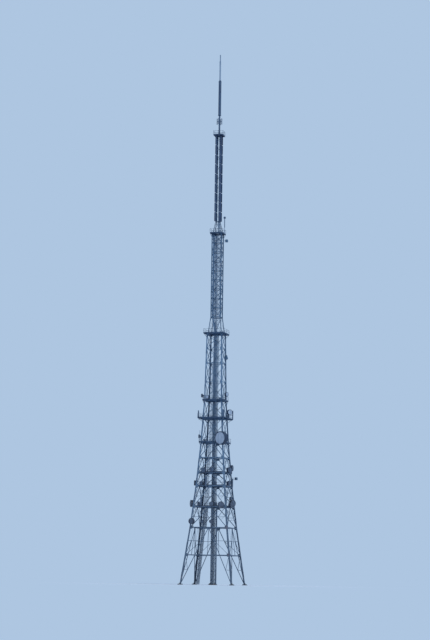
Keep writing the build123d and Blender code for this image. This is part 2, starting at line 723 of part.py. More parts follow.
girt_top = (GIRT_LEVEL - DECK_THICK, tower_half(GIRT_LEVEL), True)
deck_1 = (DECK_1_LEVEL, tower_half(DECK_1_LEVEL) - INSET, True)
deck_2 = (DECK_2_LEVEL, tower_half(DECK_2_LEVEL) - INSET, True)
deck_3 = (DECK_3_LEVEL, tower_half(DECK_3_LEVEL) - INSET, True)
deck_4 = (DECK_4_LEVEL, DECK_4_HALF, False)
deck_5 = (DECK_5_LEVEL, DECK_5_HALF, False)
deck_6 = (DECK_6_LEVEL, DECK_6_HALF, False)
deck_8 = (DECK_8_LEVEL, DECK_8_HALF, False)

for name, dishes in (
    ("upper_dishes", (
        (deck_6, "right", -200, 150, -20, 62, 42),
        (deck_6, "left", 60, 140, 20, 50, 36),
        (deck_6, "front", -130, 70, -10, 50, 36),
        (deck_5, "right", -230, 150, -35, 76, 50),
    )),
    ("middle_dishes", (
        (deck_4, "left", 30, 180, 10, 50, 36),
        (deck_3, "right", -150, 60, -30, 82, 52),
        (deck_3, "right", 60, 130, 0, 82, 52),
        (deck_3, "front", 60, 60, 0, 62, 42),
        (deck_3, "front", -165, 40, -15, 70, 46),
    )),
    ("lower_dishes", (
        (deck_2, "left", 150, 80, 20, 70, 46),
        (deck_2, "right", -290, 70, -20, 62, 42),
        (deck_2, "front", -230, 60, -10, 48, 34),
        (deck_1, "right", -120, 90, -30, 96, 60),
        (deck_1, "right", -330, 40, -10, 84, 56),
        (deck_1, "right", -240, 220, -20, 48, 34),
        (deck_1, "front", 330, 40, 20, 84, 56),
        (deck_1, "left", 200, 80, 30, 96, 60),
        (deck_1, "front", 70, 60, 10, 62, 42),
        (girt_top, "front", -440, 164, -20, 84, 56),
        (girt_top, "front", -140, 150, -10, 48, 34),
        (girt_top, "front", 75, 160, 15, 48, 34),
    )),
):
    with BuildPart() as dish_set:
        for deck, side, along, height, yaw, radius, depth in dishes:
            Perch(deck, side, along).dish(height, yaw, radius, depth)
    save(dish_set, name)

with BuildPart() as panel_aerials:
    for deck, side, along, foot, height in (
        (deck_2, "front", -115, -20, 260),
        (deck_2, "right", 260, -20, 240),
        (deck_2, "back", 150, -20, 220),
        (deck_1, "front", -230, 20, 220),
        (deck_1, "back", -200, 20, 220),
        (deck_3, "right", 250, -20, 200),
        (deck_5, "right", 250, -20, 260),
        (deck_5, "front", 360, 20, 200),
        (deck_5, "left", 160, 20, 200),
    ):
        Perch(deck, side, along).panel(foot, height)
    arm_middle = POLE_RADIUS + (SEAT_GAP + POLE_PANEL_STANDOFF) / 2
    with BuildSketch(Plane.XY.offset(POLE_PANEL_LEVEL + (POLE_PANEL_HEIGHT - ARM_WIDTH) / 2)):
        with PolarLocations(arm_middle, 4):
            Rectangle(POLE_PANEL_STANDOFF - SEAT_GAP, ARM_WIDTH)
    extrude(amount=ARM_WIDTH)
    with BuildSketch(Plane.XY.offset(POLE_PANEL_LEVEL)):
        with PolarLocations(POLE_RADIUS + POLE_PANEL_STANDOFF + POLE_PANEL_DEPTH / 2, 4):
            Rectangle(POLE_PANEL_DEPTH, POLE_PANEL_WIDTH)
    extrude(amount=POLE_PANEL_HEIGHT)
save(panel_aerials, "panel_aerials")

with BuildPart() as whip_aerials:
    for deck, side, along, length in (
        (deck_8, "right", -80, 480),
        (deck_6, "back", -150, 360),
        (deck_4, "left", 150, 340),
        (deck_4, "back", 150, 340),
    ):
        Perch(deck, side, along).whip(length)
save(whip_aerials, "whip_aerials")
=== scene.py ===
# %% [markdown]
# # Radio mast
# A self-supporting lattice tower for broadcasting, at one tenth of its real size. Four angle-iron legs lean
# in to a square mast, a slim mast with antenna panels, and a spire. The legs, sides, decks, masts and dishes
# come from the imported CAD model. This lesson gives them their paint and adds what is too fine for CAD: bolted
# plates, thin bracing, gratings, ladders, cables and covers.
# All sizes are metres of the model, so a 0.3 m step between real ladder rungs is 0.03 here.

# %% Load the frame
import math

import bmesh
import bpy
from mathutils import Matrix, Vector


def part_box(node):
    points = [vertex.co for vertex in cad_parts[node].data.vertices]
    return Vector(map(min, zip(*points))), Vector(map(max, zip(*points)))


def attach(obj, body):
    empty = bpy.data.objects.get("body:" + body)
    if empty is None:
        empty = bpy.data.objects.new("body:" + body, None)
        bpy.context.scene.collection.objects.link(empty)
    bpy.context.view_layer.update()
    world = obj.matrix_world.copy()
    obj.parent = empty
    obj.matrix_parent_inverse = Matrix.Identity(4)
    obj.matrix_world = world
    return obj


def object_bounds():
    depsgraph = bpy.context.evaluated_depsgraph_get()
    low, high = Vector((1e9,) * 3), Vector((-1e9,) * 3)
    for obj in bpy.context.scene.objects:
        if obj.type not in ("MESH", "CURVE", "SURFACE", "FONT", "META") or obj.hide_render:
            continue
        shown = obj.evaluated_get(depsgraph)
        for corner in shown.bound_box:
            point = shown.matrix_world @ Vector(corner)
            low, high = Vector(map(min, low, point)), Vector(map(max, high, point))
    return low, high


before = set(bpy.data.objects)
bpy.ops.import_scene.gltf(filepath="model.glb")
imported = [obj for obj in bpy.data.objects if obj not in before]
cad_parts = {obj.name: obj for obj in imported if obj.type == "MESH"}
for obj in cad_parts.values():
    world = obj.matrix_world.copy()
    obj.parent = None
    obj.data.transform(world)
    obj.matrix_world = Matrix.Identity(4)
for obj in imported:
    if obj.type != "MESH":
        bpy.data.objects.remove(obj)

cad_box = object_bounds()
print("CAD nodes:", len(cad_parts), "height:", round(cad_box[1].z, 3))

# %% [markdown]
# ## Camera
# The view is from far away and low down. A long lens from 51 m keeps that flat, distant look. The camera
# stays just above the floor, so the tower's foot is seen almost edge on and the decks from below. The frame
# is closer than the picture's: the tower stands in the middle at twice its size there, so that the lattice
# shows. Tilt and focal length are worked out from the rows where its foot and tip come to lie, and a small
# roll gives the slight lean to the right that the picture has.

# %% Camera from the rows of the foot and the tip
PICTURE_HEIGHT, CENTRE_COLUMN = 640, 215
FOOT_ROW, TIP_ROW, AXIS_COLUMN = 586, 56, 216.6
CAMERA_DISTANCE, CAMERA_HEIGHT, CAMERA_REACH = 51.0, 0.3, 1000
CAMERA_AZIMUTH, CAMERA_ROLL = math.radians(15), math.radians(0.85)
SENSOR_SIZE = 36


def placed(name, data):
    """A new object in the scene."""
    made = bpy.data.objects.new(name, data)
    bpy.context.scene.collection.objects.link(made)
    return made


foot_angle = math.atan2(-CAMERA_HEIGHT, CAMERA_DISTANCE)
tip_angle = math.atan2(cad_box[1].z - CAMERA_HEIGHT, CAMERA_DISTANCE)
camera_tilt = (foot_angle + tip_angle) / 2
focal_pixels = (FOOT_ROW - TIP_ROW) / (math.tan(camera_tilt - foot_angle) + math.tan(tip_angle - camera_tilt))
swing = math.atan2(AXIS_COLUMN - CENTRE_COLUMN, focal_pixels)

camera = placed("camera", bpy.data.cameras.new("camera"))
camera.data.sensor_width = SENSOR_SIZE
camera.data.lens = SENSOR_SIZE * focal_pixels / PICTURE_HEIGHT
camera.data.clip_end = CAMERA_REACH
stand = Vector((math.sin(CAMERA_AZIMUTH), -math.cos(CAMERA_AZIMUTH), 0)) * CAMERA_DISTANCE
stand.z = CAMERA_HEIGHT
aim = Matrix.Rotation(CAMERA_AZIMUTH + swing, 4, "Z") @ Matrix.Rotation(math.pi / 2 + camera_tilt, 4, "X")
camera.matrix_world = Matrix.Translation(stand) @ aim @ Matrix.Rotation(CAMERA_ROLL, 4, "Z")
bpy.context.scene.camera = camera
print("lens:", round(camera.data.lens, 1), "mm, tilt:", round(math.degrees(camera_tilt), 2))

# %% [markdown]
# ## Shader sums
# A finish is a sum of masks: blotches, streaks, rust. Written as Python expressions they read like the sum
# itself. `Field` holds one output socket, and its operators add the Math nodes. `Graph.node` adds any other
# node: its settings first, then its sockets.

# %% Fields and the graph that they belong to
class Field:
    """One output socket: a value that varies over a surface."""

    def __init__(self, graph, socket):
        self.graph, self.socket = graph, socket

    def math(self, operation, first, second):
        return self.graph.node("ShaderNodeMath", {"operation": operation}, {0: first, 1: second})

    def __add__(self, other):
        return self.math("ADD", self, other)

    def __sub__(self, other):
        return self.math("SUBTRACT", self, other)

    def __rsub__(self, other):
        return self.math("SUBTRACT", other, self)

    def __mul__(self, other):
        return self.math("MULTIPLY", self, other)

    __radd__ = __add__
    __rmul__ = __mul__


class Graph:
    """The node tree of a material or of the world."""

    def __init__(self, owner):
        owner.use_nodes = True
        self.tree = owner.node_tree

    def node(self, kind, settings=None, sockets=None, output=0):
        made = self.tree.nodes.new(kind)
        for name, value in (settings or {}).items():
            setattr(made, name, value)
        self.fill(made, sockets or {})
        return Field(self, made.outputs[output])

    def fill(self, node, sockets):
        for name, value in sockets.items():
            if isinstance(value, Field):
                self.tree.links.new(value.socket, node.inputs[name])
            else:
                node.inputs[name].default_value = value

    def ray(self, kind):
        """1 for a ray of that kind, such as one that the camera sees."""
        return self.node("ShaderNodeLightPath", output=f"Is {kind} Ray")


print("made:", Field.__name__, "and", Graph.__name__)

# %% Finishes
class Finish(Graph):
    """A material's graph, with the few nodes that every finish here shares."""

    def __init__(self, name):
        self.material = bpy.data.materials.new(name)
        super().__init__(self.material)
        self.place = self.node("ShaderNodeTexCoord", output="Object")

    def surface(self, **sockets):
        """Fill the shader's sockets, named with _ for each space."""
        shader = self.tree.nodes["Principled BSDF"]
        self.fill(shader, {name.replace("_", " "): value for name, value in sockets.items()})
        return self.material

    def noise(self, scale, detail=3, stretch=(1, 1, 1)):
        place = self.node("ShaderNodeVectorMath", {"operation": "MULTIPLY"}, {0: self.place, 1: stretch})
        return self.node("ShaderNodeTexNoise", {}, {"Vector": place, "Scale": scale, "Detail": detail})

    def mask(self, field, low, high):
        """0 where the field is under low, 1 where it is over high."""
        settings = {"interpolation_type": "SMOOTHSTEP"}
        return self.node("ShaderNodeMapRange", settings, {"Value": field, "From Min": low, "From Max": high})

    def mix(self, share, first, second):
        return self.node("ShaderNodeMix", {"data_type": "RGBA"}, {0: share, 6: first, 7: second}, output=2)

    def greyed_low(self, colour):
        """The colour mixed towards a dull grey low on the tower, fading out with height."""
        height = self.node("ShaderNodeSeparateXYZ", {}, {0: self.place}, output=2)
        return self.mix((1 - self.mask(height, *LOW_GREY_LEVELS)) * LOW_GREY_SHARE, colour, LOW_GREY)

    def bump(self, height, depth):
        return self.node("ShaderNodeBump", {}, {"Height": height, "Distance": depth})


def paint(red, green, blue):
    """A paint chip's colour, 0 to 255 as a screen shows it, as the numbers that a shader takes."""
    parts = [value / 255 for value in (red, green, blue)]
    return (*[p / 12.92 if p < 0.04 else ((p + 0.055) / 1.055) ** 2.4 for p in parts], 1)


print("mid grey for a shader:", round(paint(128, 128, 128)[0], 3))

# %% [markdown]
# ## Painted steel
# The tower's steel is galvanised and painted grey. Most steels' colours here are darker and bluer than that
# paint: painted shade and painted sky light, as on a tower that stands against a bright sky. Weather has
# chalked the paint: up close it is blotched, washed in streaks down the bars, and stained brown where water
# sits.
# Low on the tower every colour is mixed towards a dull grey. One function makes every steel, since only its
# colours and the amount of stain differ. The streaks are the same noise squeezed sideways, which stretches it
# along the height.

# %% Weathered steel
RUST, LOW_GREY = paint(112, 72, 50), paint(66, 64, 64)
# A dull grey is mixed in at full share below 0.6 m and fades out by 5.2 m.
LOW_GREY_LEVELS, LOW_GREY_SHARE = (0.6, 5.2), 0.42
BLOTCH_SCALE, STREAK_SCALE, STAIN_SCALE, GRAIN_SCALE = 9, 24, 5, 260
STREAK_STRETCH, GRAIN_DEPTH = (1, 1, 0.07), 0.0006
# Each steel: its material's name, its darker and its lighter colour, its share of stain, its roughness. Apart
# from the base plates', the colours are darker and bluer than the grey paint: painted shade and painted sky
# light.
STEELS = {
    "leg_steel": ("leg_paint_and_painted_shade", (60, 91, 123), (90, 123, 155), 0.3, 0.46),
    "bracing_steel": ("bracing_paint_and_painted_shade", (58, 91, 123), (88, 121, 153), 0.25, 0.5),
    "column_steel": ("column_paint_and_painted_shade", (54, 85, 117), (80, 113, 145), 0.15, 0.5),
    "deck_steel": ("deck_paint_and_painted_shade", (32, 58, 86), (54, 82, 114), 0.3, 0.55),
    "mast_steel": ("mast_paint_and_painted_shade", (40, 72, 102), (66, 100, 132), 0.2, 0.46),
    "base_steel": ("base_plate_steel", (84, 90, 98), (128, 134, 140), 0.75, 0.55),
    "spire_steel": ("spire_pole_paint_and_painted_shade", (32, 60, 90), (56, 86, 116), 0.15, 0.42),
}


def weathered_steel(name, shade, light, stain, roughness):
    finish = Finish(name)
    blotches = finish.noise(BLOTCH_SCALE, detail=4)
    streaks = finish.noise(STREAK_SCALE, stretch=STREAK_STRETCH)
    grain = finish.noise(GRAIN_SCALE, detail=2)
    weather = finish.mask(blotches * 0.55 + streaks * 0.45, 0.36, 0.64)
    paint_colour = finish.mix(weather, paint(*shade), paint(*light))
    stained = finish.mask(finish.noise(STAIN_SCALE, detail=5) + streaks * 0.35, 0.78, 0.92) * stain
    return finish.surface(
        Base_Color=finish.mix(stained, finish.greyed_low(paint_colour), RUST),
        Roughness=roughness + weather * 0.14 + stained * 0.2,
        Metallic=0.15,
        Normal=finish.bump(grain - blotches * 0.5, GRAIN_DEPTH),
    )


finishes = {slot: weathered_steel(*values) for slot, values in STEELS.items()}
galvanised = weathered_steel("galvanised_zinc", (92, 110, 130), (126, 144, 164), 0.2, 0.4)
print("steel finishes:", len(finishes) + 1)

# %% [markdown]
# ## Shells and covers
# Antenna panels, the spire and the aerials have shells of moulded glass fibre: smooth, faintly cloudy, and
# darker where rain has left dust. Dish covers are coated cloth, pale on the high dishes and the large one. On
# the low ones, where the picture has dark spots, the same cloth is made dark: painted shade. Cables have a
# black jacket that has greyed, and the blue in its colour is painted sky light. They share one function, with a
# fine weave in the bump for the covers.

# %% Moulded shells, dish covers and cable jackets
CLOUD_SCALE, DUST_SCALE = 7, 30
SHELLS = {
    "panel_shell": ("panel_shell_moulding", (14, 42, 76), (32, 62, 98), 0.38, 180, 0.0004),
    "spire_shell": ("spire_moulding", (24, 50, 82), (42, 72, 104), 0.34, 160, 0.0004),
    "whip_shell": ("whip_moulding", (86, 112, 142), (116, 140, 166), 0.36, 200, 0.0003),
    "aerial_shell": ("aerial_moulding", (38, 62, 92), (64, 90, 120), 0.4, 200, 0.0003),
}


def moulded_shell(name, shade, light, roughness, grain_scale, grain_depth):
    finish = Finish(name)
    clouds = finish.noise(CLOUD_SCALE, detail=4)
    dust = finish.mask(finish.noise(DUST_SCALE, stretch=STREAK_STRETCH), 0.42, 0.7)
    clean = 1 - finish.mask(clouds * 0.7 + dust * 0.3, 0.25, 0.75)
    return finish.surface(
        Base_Color=finish.greyed_low(finish.mix(clean, paint(*shade), paint(*light))),
        Roughness=roughness + dust * 0.18,
        Coat_Weight=0.12,
        Coat_Roughness=0.3,
        Normal=finish.bump(finish.noise(grain_scale, detail=2) + clouds * 0.2, grain_depth),
    )


finishes |= {slot: moulded_shell(*values) for slot, values in SHELLS.items()}
# The dishes' shrouds, spun bodies, hoops and struts are painted almost black: painted shade, for a shroud's
# side that lies in shade.
finishes["dish_shell"] = weathered_steel("dish_shroud_painted_shade", (12, 34, 62), (30, 56, 86), 0.15, 0.4)
cover_cloth = moulded_shell("dish_cover_cloth", (116, 138, 164), (150, 170, 194), 0.55, 700, 0.0006)
# The same cover cloth made dark for the low dishes: painted shade.
shaded_cover_cloth = moulded_shell("cover_cloth_painted_shade", (34, 56, 84), (62, 88, 118), 0.55, 700, 0.0006)
# The jacket is a greyed black drawn blue-grey: the blue is painted sky light.
cable_jacket = moulded_shell("cable_jacket", (66, 98, 132), (96, 128, 162), 0.5, 320, 0.0004)

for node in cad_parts.values():
    for place in node.material_slots:
        place.material = finishes[place.material.name]
print("slots with a finish:", sorted(finishes))

# %% [markdown]
# ## Measuring the tower
# Everything that follows is placed by the frame. A deck's box gives its level and half its width. A leg's
# corners give the width of the tower at each level where the legs change slope, and between those levels the
# width runs straight.

# %% Levels and widths
LEG_THICK, BRACE_DEPTH, DECK_THICK, RAIL_HEIGHT = 0.006, 0.013, 0.010, 0.112
BELT_LEVEL, SHAFT_FRAME_LEVEL = 0.833, 6.226
FOOT_FLANGE, FLANGE_TAPER = 0.046, 0.014
DECKS = (
    "first_deck", "second_deck", "third_deck", "fourth_deck", "fifth_deck",
    "sixth_deck", "seventh_deck", "eighth_deck", "top_deck",
)

deck_level = {name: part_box(name)[0].z for name in DECKS}
deck_half = {name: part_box(name)[1].x for name in DECKS}
girt_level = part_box("base_side_front")[1].z
column_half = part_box("feeder_column")[1].x

leg_width = {}
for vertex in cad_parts["leg_front_left"].data.vertices:
    level = round(vertex.co.z, 3)
    leg_width[level] = max(leg_width.get(level, 0), -vertex.co.x)
leg_levels = sorted(leg_width)


def tower_half(level):
    """Half the tower's width at a level."""
    level = min(max(level, leg_levels[0]), leg_levels[-1])
    for low, high in zip(leg_levels, leg_levels[1:]):
        if level <= high:
            share = (level - low) / (high - low)
            return leg_width[low] + (leg_width[high] - leg_width[low]) * share


def leg_flange(level):
    """Width of a leg's flange at a level: it narrows going up."""
    return FOOT_FLANGE - FLANGE_TAPER * level / leg_levels[-1]


print({name: round(level, 3) for name, level in deck_level.items()})

# %% [markdown]
# ## Stock
# Most details are cut lengths, plates or turned pieces, and there are thousands. `Stock` collects them as
# points and faces and makes one mesh of each kind, which renders much faster than thousands of objects.
# Whatever is on the front side is on all four, so a length can be drawn at the front and turned about the
# tower's axis by quarters.

# %% Places that repeat, and the sections of the lengths
SIDES = FRONT, RIGHT, BACK, LEFT = range(4)
HANDS = (-1, 1)
UP, ACROSS, INWARD = Vector((0, 0, 1)), Vector((1, 0, 0)), Vector((0, 1, 0))


def quarter(point, turns):
    """A point of the front side turned about the tower's axis to another side."""
    return Matrix.Rotation(turns * math.pi / 2, 3, "Z") @ Vector(point)


def spread(run, pitch):
    """Places at a pitch to both sides of the middle, as far as the run lets them go."""
    count = int(run / pitch)
    return [number * pitch for number in range(-count, count + 1)]


def bays(low, high, count):
    """The number, foot and top of each of the equal bays of a height."""
    bay = (high - low) / count
    return [(number, low + number * bay, low + (number + 1) * bay) for number in range(count)]


def flat(width, thick):
    w, t = width / 2, thick / 2
    return [(-w, -t), (w, -t), (w, t), (-w, t)]


def rod(radius, sides=6):
    turns = [math.tau * (number + 0.5) / sides for number in range(sides)]
    return [(radius * math.cos(turn), radius * math.sin(turn)) for turn in turns]


def angle(width, thick):
    """An L, its heel at the corner of two flanges."""
    return [(0, 0), (width, 0), (width, thick), (thick, thick), (thick, width), (0, width)]


print("corners of a flat, a rod and an angle:", len(flat(1, 1)), len(rod(1)), len(angle(1, 1)))

# %% Stock of lengths, plates and turned pieces
SMOOTH_ANGLE = math.radians(40)


class Stock:
    """Pieces of one finish, joined in a single mesh."""

    def __init__(self):
        self.points, self.faces = [], []

    def skin(self, rings, open_end=False):
        """Walls between rings of points, and flat ends: both, or none where the end is open."""
        first, size = len(self.points), len(rings[0])
        self.points += [tuple(point) for ring in rings for point in ring]
        for row in range(len(rings) - 1):
            low = first + row * size
            for corner in range(size):
                after = (corner + 1) % size
                self.faces.append((low + corner, low + after, low + size + after, low + size + corner))
        if not open_end:
            last = first + (len(rings) - 1) * size
            self.faces.append(tuple(range(first + size - 1, first - 1, -1)))
            self.faces.append(tuple(range(last, last + size)))

    def length(self, start, end, section, across=ACROSS, turns=0):
        """A straight length, turned to a side; across is the way of the section's first number."""
        start, end, across = (quarter(point, turns) for point in (start, end, across))
        along = (end - start).normalized()
        side = (across - along * across.dot(along)).normalized()
        face = along.cross(side)
        self.skin([[point + side * u + face * v for u, v in section] for point in (start, end)])

    def upright(self, place, low, high, section, across=ACROSS):
        """A length that stands over a place, from one height to another."""
        self.length(place + UP * low, place + UP * high, section, across)

    def level(self, reach, out, height, section, across=INWARD, turns=0):
        """A level length on a side, as far to the left as to the right."""
        self.length((-reach, -out, height), (reach, -out, height), section, across, turns)

    def inward(self, across, outer, inner, height, section, turns):
        """A level length from the outside of a side in towards the axis."""
        self.length((across, -outer, height), (across, -inner, height), section, turns=turns)

    def plate(self, outline, thick):
        """A flat plate: its outline's points, and the step to its other face."""
        self.skin([[Vector(point) for point in outline], [Vector(point) + thick for point in outline]])

    def turned(self, foot, along, profile, sides, open_end=False):
        """A turned piece: (distance along the axis, radius) for each ring."""
        side = along.orthogonal().normalized()
        face = along.cross(side)
        rings = []
        for distance, radius in profile:
            middle = Vector(foot) + along * distance
            rings.append([middle + side * u + face * v for u, v in rod(radius, sides)])
        self.skin(rings, open_end)

    def bolt(self, seat, along, size):
        """A hexagon head on its washer, with the end of the bolt showing."""
        head = ((0, size * 1.25), (size * 0.2, size * 1.25), (size * 0.2, size), (size * 0.9, size * 0.95))
        self.turned(seat, along, head, 6)
        self.turned(seat, along, ((0, size * 0.5), (size * 1.3, size * 0.45)), 6)

    def made(self, name, slot, material=None):
        """One object of everything collected, in the finish of a slot unless another is given."""
        mesh = bpy.data.meshes.new(name)
        mesh.from_pydata(self.points, [], self.faces)
        work = bmesh.new()
        work.from_mesh(mesh)
        bmesh.ops.recalc_face_normals(work, faces=work.faces)
        work.to_mesh(mesh)
        work.free()
        mesh.shade_smooth()
        mesh.set_sharp_from_angle(angle=SMOOTH_ANGLE)
        mesh.materials.append(material or finishes[slot])
        piece = placed(name, mesh)
        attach(piece, "root")
        mesh.calc_loop_triangles()
        print(name, "triangles:", len(mesh.loop_triangles))


# %% [markdown]
# ## Leg splices
# A real leg comes in lengths of about eight metres, and cover plates bolted to both flanges join one length
# to the next. A plate could be a box turned to the leg's lean. A flat length drawn between two points of the
# flange's face needs no angle, because it leans with its points. Each splice is two plates with two columns
# of bolts, clear of the decks, about a third of the way up each stage.

# %% Splice plates and their bolts
SPLICE_LENGTH, SPLICE_THICK, SPLICE_MARGIN, SPLICE_SHARE = 0.15, 0.003, 0.006, 0.36
BOLT_SIZE, BOLT_ROWS, BOLT_COLUMNS = 0.0032, 4, (0.28, 0.72)
stages = [
    leg_levels[0], BELT_LEVEL, girt_level, *[deck_level[name] for name in DECKS[:6]],
    SHAFT_FRAME_LEVEL, deck_level["seventh_deck"],
]


def leg_point(level, across, outward, turns, hand):
    """A point on the outer face of a leg's flange on one side, across the flange from the corner."""
    half = tower_half(level)
    return quarter((hand * (half - across), -half - outward, level), turns)


splice_plates, splice_bolts = Stock(), Stock()
for low, high in zip(stages, stages[1:]):
    middle = low + (high - low) * SPLICE_SHARE
    flange = leg_flange(middle)
    section = flat(flange - SPLICE_MARGIN, SPLICE_THICK)
    for turns in SIDES:
        for hand in HANDS:
            ends = [middle + SPLICE_LENGTH * end / 2 for end in HANDS]
            ends = [leg_point(level, flange / 2, SPLICE_THICK / 2, turns, hand) for level in ends]
            splice_plates.length(*ends, section, quarter(ACROSS, turns))
            for row in range(BOLT_ROWS):
                level = middle + SPLICE_LENGTH * ((row + 0.5) / BOLT_ROWS - 0.5)
                for share in BOLT_COLUMNS:
                    seat = leg_point(level, leg_flange(level) * share, SPLICE_THICK, turns, hand)
                    splice_bolts.bolt(seat, quarter(-INWARD, turns), BOLT_SIZE)
splice_plates.made("leg_splice_plates", "leg_steel")
splice_bolts.made("leg_splice_bolts", "leg_steel", galvanised)

# %% [markdown]
# ## Gussets
# Where bracing meets a leg or a girt, the bars are bolted to a flat plate: a trapezium against the flange's
# edge at a leg, and a plate under the middle of the girt at the top of an arch. Each is an outline of
# (across, level) corners on the outer face of the bracing, pushed out by its thickness, so one function sets
# it on any of the four sides.

# %% Plates and bolts on the face of the bracing
GUSSET_THICK, GUSSET_DROP, GUSSET_BOLT_DROP = 0.003, 0.012, 0.011
gussets, gusset_bolts = Stock(), Stock()


def side_point(level, across, outward, turns):
    """A point on the outer face of the bracing of one side, across from the side's middle."""
    return quarter((across, LEG_THICK - tower_half(level) - outward, level), turns)


def gusset(outline, bolt_places, turns):
    """A plate from (across, level) corners, with its bolts."""
    outward = quarter(-INWARD, turns)
    gussets.plate([side_point(level, across, 0, turns) for across, level in outline], outward * GUSSET_THICK)
    for across, level in bolt_places:
        gusset_bolts.bolt(side_point(level, across, GUSSET_THICK, turns), outward, BOLT_SIZE * 0.9)


def leg_gusset(level, reach, rise, turns, hand):
    """The plate beside a leg's flange, centred a little under the level of a girt's top."""
    low, high = (tower_half(level + rise * end) - leg_flange(level) for end in HANDS)
    shape = [(low, -1), (low - reach * 0.7, -0.8), (low - reach, -0.1), (high - reach * 0.7, 0.8), (high, 1)]
    outline = [(hand * across, level + rise * share) for across, share in shape]
    bolts = [(hand * (low - reach * share), level - GUSSET_BOLT_DROP) for share in (0.3, 0.75)]
    bolts += [(hand * (high - reach * share), level + rise * share) for share in (0.3, 0.6)]
    gusset(outline, bolts, turns)


def crown_gusset(level, reach, turns):
    """The plate under the middle of a girt, where two arch bars meet."""
    shape = ((-1, 0), (-1, 0.5), (-0.45, 1.2), (0.45, 1.2), (1, 0.5), (1, 0))
    outline = [(reach * across, level - reach * drop) for across, drop in shape]
    bolts = [(hand * reach * 0.6, level - GUSSET_BOLT_DROP) for hand in HANDS]
    bolts += [(hand * reach * 0.4, level - reach * 0.8) for hand in HANDS]
    gusset(outline, bolts, turns)


print("a gusset's face at the girt:", round(-side_point(girt_level, 0, GUSSET_THICK, FRONT).y, 3), "m out")

# %% Gussets of every stage
CROWN_DROP, CROWN_REACH, ARCH_GUSSET, SHAFT_GUSSET = 0.001, 0.055, (0.05, 0.048), (0.03, 0.034)
fourth, fifth, sixth, seventh = (deck_level[name] for name in DECKS[3:7])
half_way = (deck_level["third_deck"] + fourth) / 2
arch_levels = [leg_levels[0], girt_level, *[deck_level[name] for name in DECKS[:3]], half_way, fourth]
shaft_levels = [
    fourth, fifth, sixth, (sixth + SHAFT_FRAME_LEVEL) / 2,
    SHAFT_FRAME_LEVEL, (SHAFT_FRAME_LEVEL + seventh) / 2, seventh,
]
for turns in SIDES:
    for level in arch_levels[1:]:
        crown_gusset(level - CROWN_DROP, CROWN_REACH, turns)
    for hand in HANDS:
        for level in (BELT_LEVEL, *arch_levels[1:-1]):
            leg_gusset(level - GUSSET_DROP, *ARCH_GUSSET, turns, hand)
        for level in shaft_levels[:-1]:
            leg_gusset(level - GUSSET_DROP, *SHAFT_GUSSET, turns, hand)
gussets.made("bracing_gussets", "bracing_steel")
gusset_bolts.made("bracing_gusset_bolts", "bracing_steel", galvanised)

# %% [markdown]
# ## Fine bracing
# The CAD model has the main bars. A real side also has light angles that halve the free length of the legs
# and the main bars. An array can't repeat them, since no two stages are alike, so each is a small angle
# section between two points that come from its stage's levels, at the middle of the bracing's depth.

# %% Fine bracing of the sides
FINE_BAR = 0.0048
fine_bracing = Stock()


def fine_bar(start, end, turns, width=FINE_BAR):
    """A light angle between two (across, level) points of a side."""
    ends = [side_point(level, across, -BRACE_DEPTH / 2, turns) for across, level in (start, end)]
    fine_bracing.length(*ends, angle(width, width * 0.3), quarter(ACROSS, turns))


def along_bar(low, high, share):
    """A point on an arch bar, from the leg's foot to the crown."""
    return tower_half(low) * (1 - share), low + (high - low) * share


def leg_line(level):
    return tower_half(level) - leg_flange(level) / 2


for turns in SIDES:
    for hand in HANDS:
        for number, (low, high) in enumerate(zip(arch_levels, arch_levels[1:])):
            for share in (0.36, 0.68) if number else (0.5,):
                across, level = along_bar(low, high, share)
                joint = (hand * across, level)
                fine_bar(joint, (hand * leg_line(level), level), turns)
                if number:
                    upper = level + (high - low) * 0.22
                    fine_bar(joint, (hand * leg_line(upper), upper), turns)
            across, level = along_bar(low, high, 0.62)
            fine_bar((hand * across, level), (hand * across, high - GUSSET_DROP), turns)
    for low, high in zip(shaft_levels, shaft_levels[1:]):
        middle = (low + high) / 2
        for hand in HANDS:
            fine_bar((0, middle), (hand * leg_line(middle), middle), turns)
            for share in (0.25, 0.75):
                level = low + (high - low) * share
                across = hand * leg_line(level)
                fine_bar((across * 0.5, level), (across, level), turns, FINE_BAR * 0.8)
fine_bracing.made("fine_bracing", "bracing_steel")

# %% [markdown]
# ## Level frames
# At each girt without a deck, level bars keep the square from folding: a diamond between the middles of the
# four sides, and ties from the corners to the feeder column, which would sway without them. One bar of each
# kind is drawn at the front and turned to the other sides.

# %% Level frames and column ties
LEVEL_BAR, LEVEL_DROP = angle(0.009, 0.0025), 0.016
level_frames = Stock()
for level in (BELT_LEVEL, girt_level, half_way, SHAFT_FRAME_LEVEL):
    height = level - LEVEL_DROP
    half = tower_half(level) - LEG_THICK - BRACE_DEPTH
    corner = half - leg_flange(level) / 2
    for turns in SIDES:
        level_frames.length((0, -half, height), (half, 0, height), LEVEL_BAR, UP, turns)
        ends = [(-out, -out, height) for out in (corner, column_half)]
        level_frames.length(*ends, LEVEL_BAR, UP, turns)
level_frames.made("level_frames", "bracing_steel")

# %% [markdown]
# ## Decks
# A deck is grating on light beams. From below, which is how the tower is mostly seen, the beams are what
# shows, so each deck gets edge channels, joists across its walkway and beams along its spokes. Guard rails
# have a middle bar, and a toe board keeps tools from rolling off. Holes drawn in a material could stand for
# the grating, but they would have no depth from the side, so every bar across the walkways is a length.

# %% Where rails, walkways and legs are
WALKWAY, SPOKE = 0.112, 0.080
LEG_CUT, CORNER_GAP, RAIL_BAR = 0.078, 0.0015, 0.005
INSIDE_DECKS, PLATE_DECKS = DECKS[:3], DECKS[7:]


def rail_line(name):
    """How far out a deck's guard rails stand, and half the length of each."""
    level = deck_level[name]
    if name in INSIDE_DECKS:
        lean = tower_half(level + DECK_THICK + RAIL_HEIGHT)
        return lean - LEG_THICK - BRACE_DEPTH - CORNER_GAP, tower_half(level) - LEG_CUT
    return deck_half[name], deck_half[name]


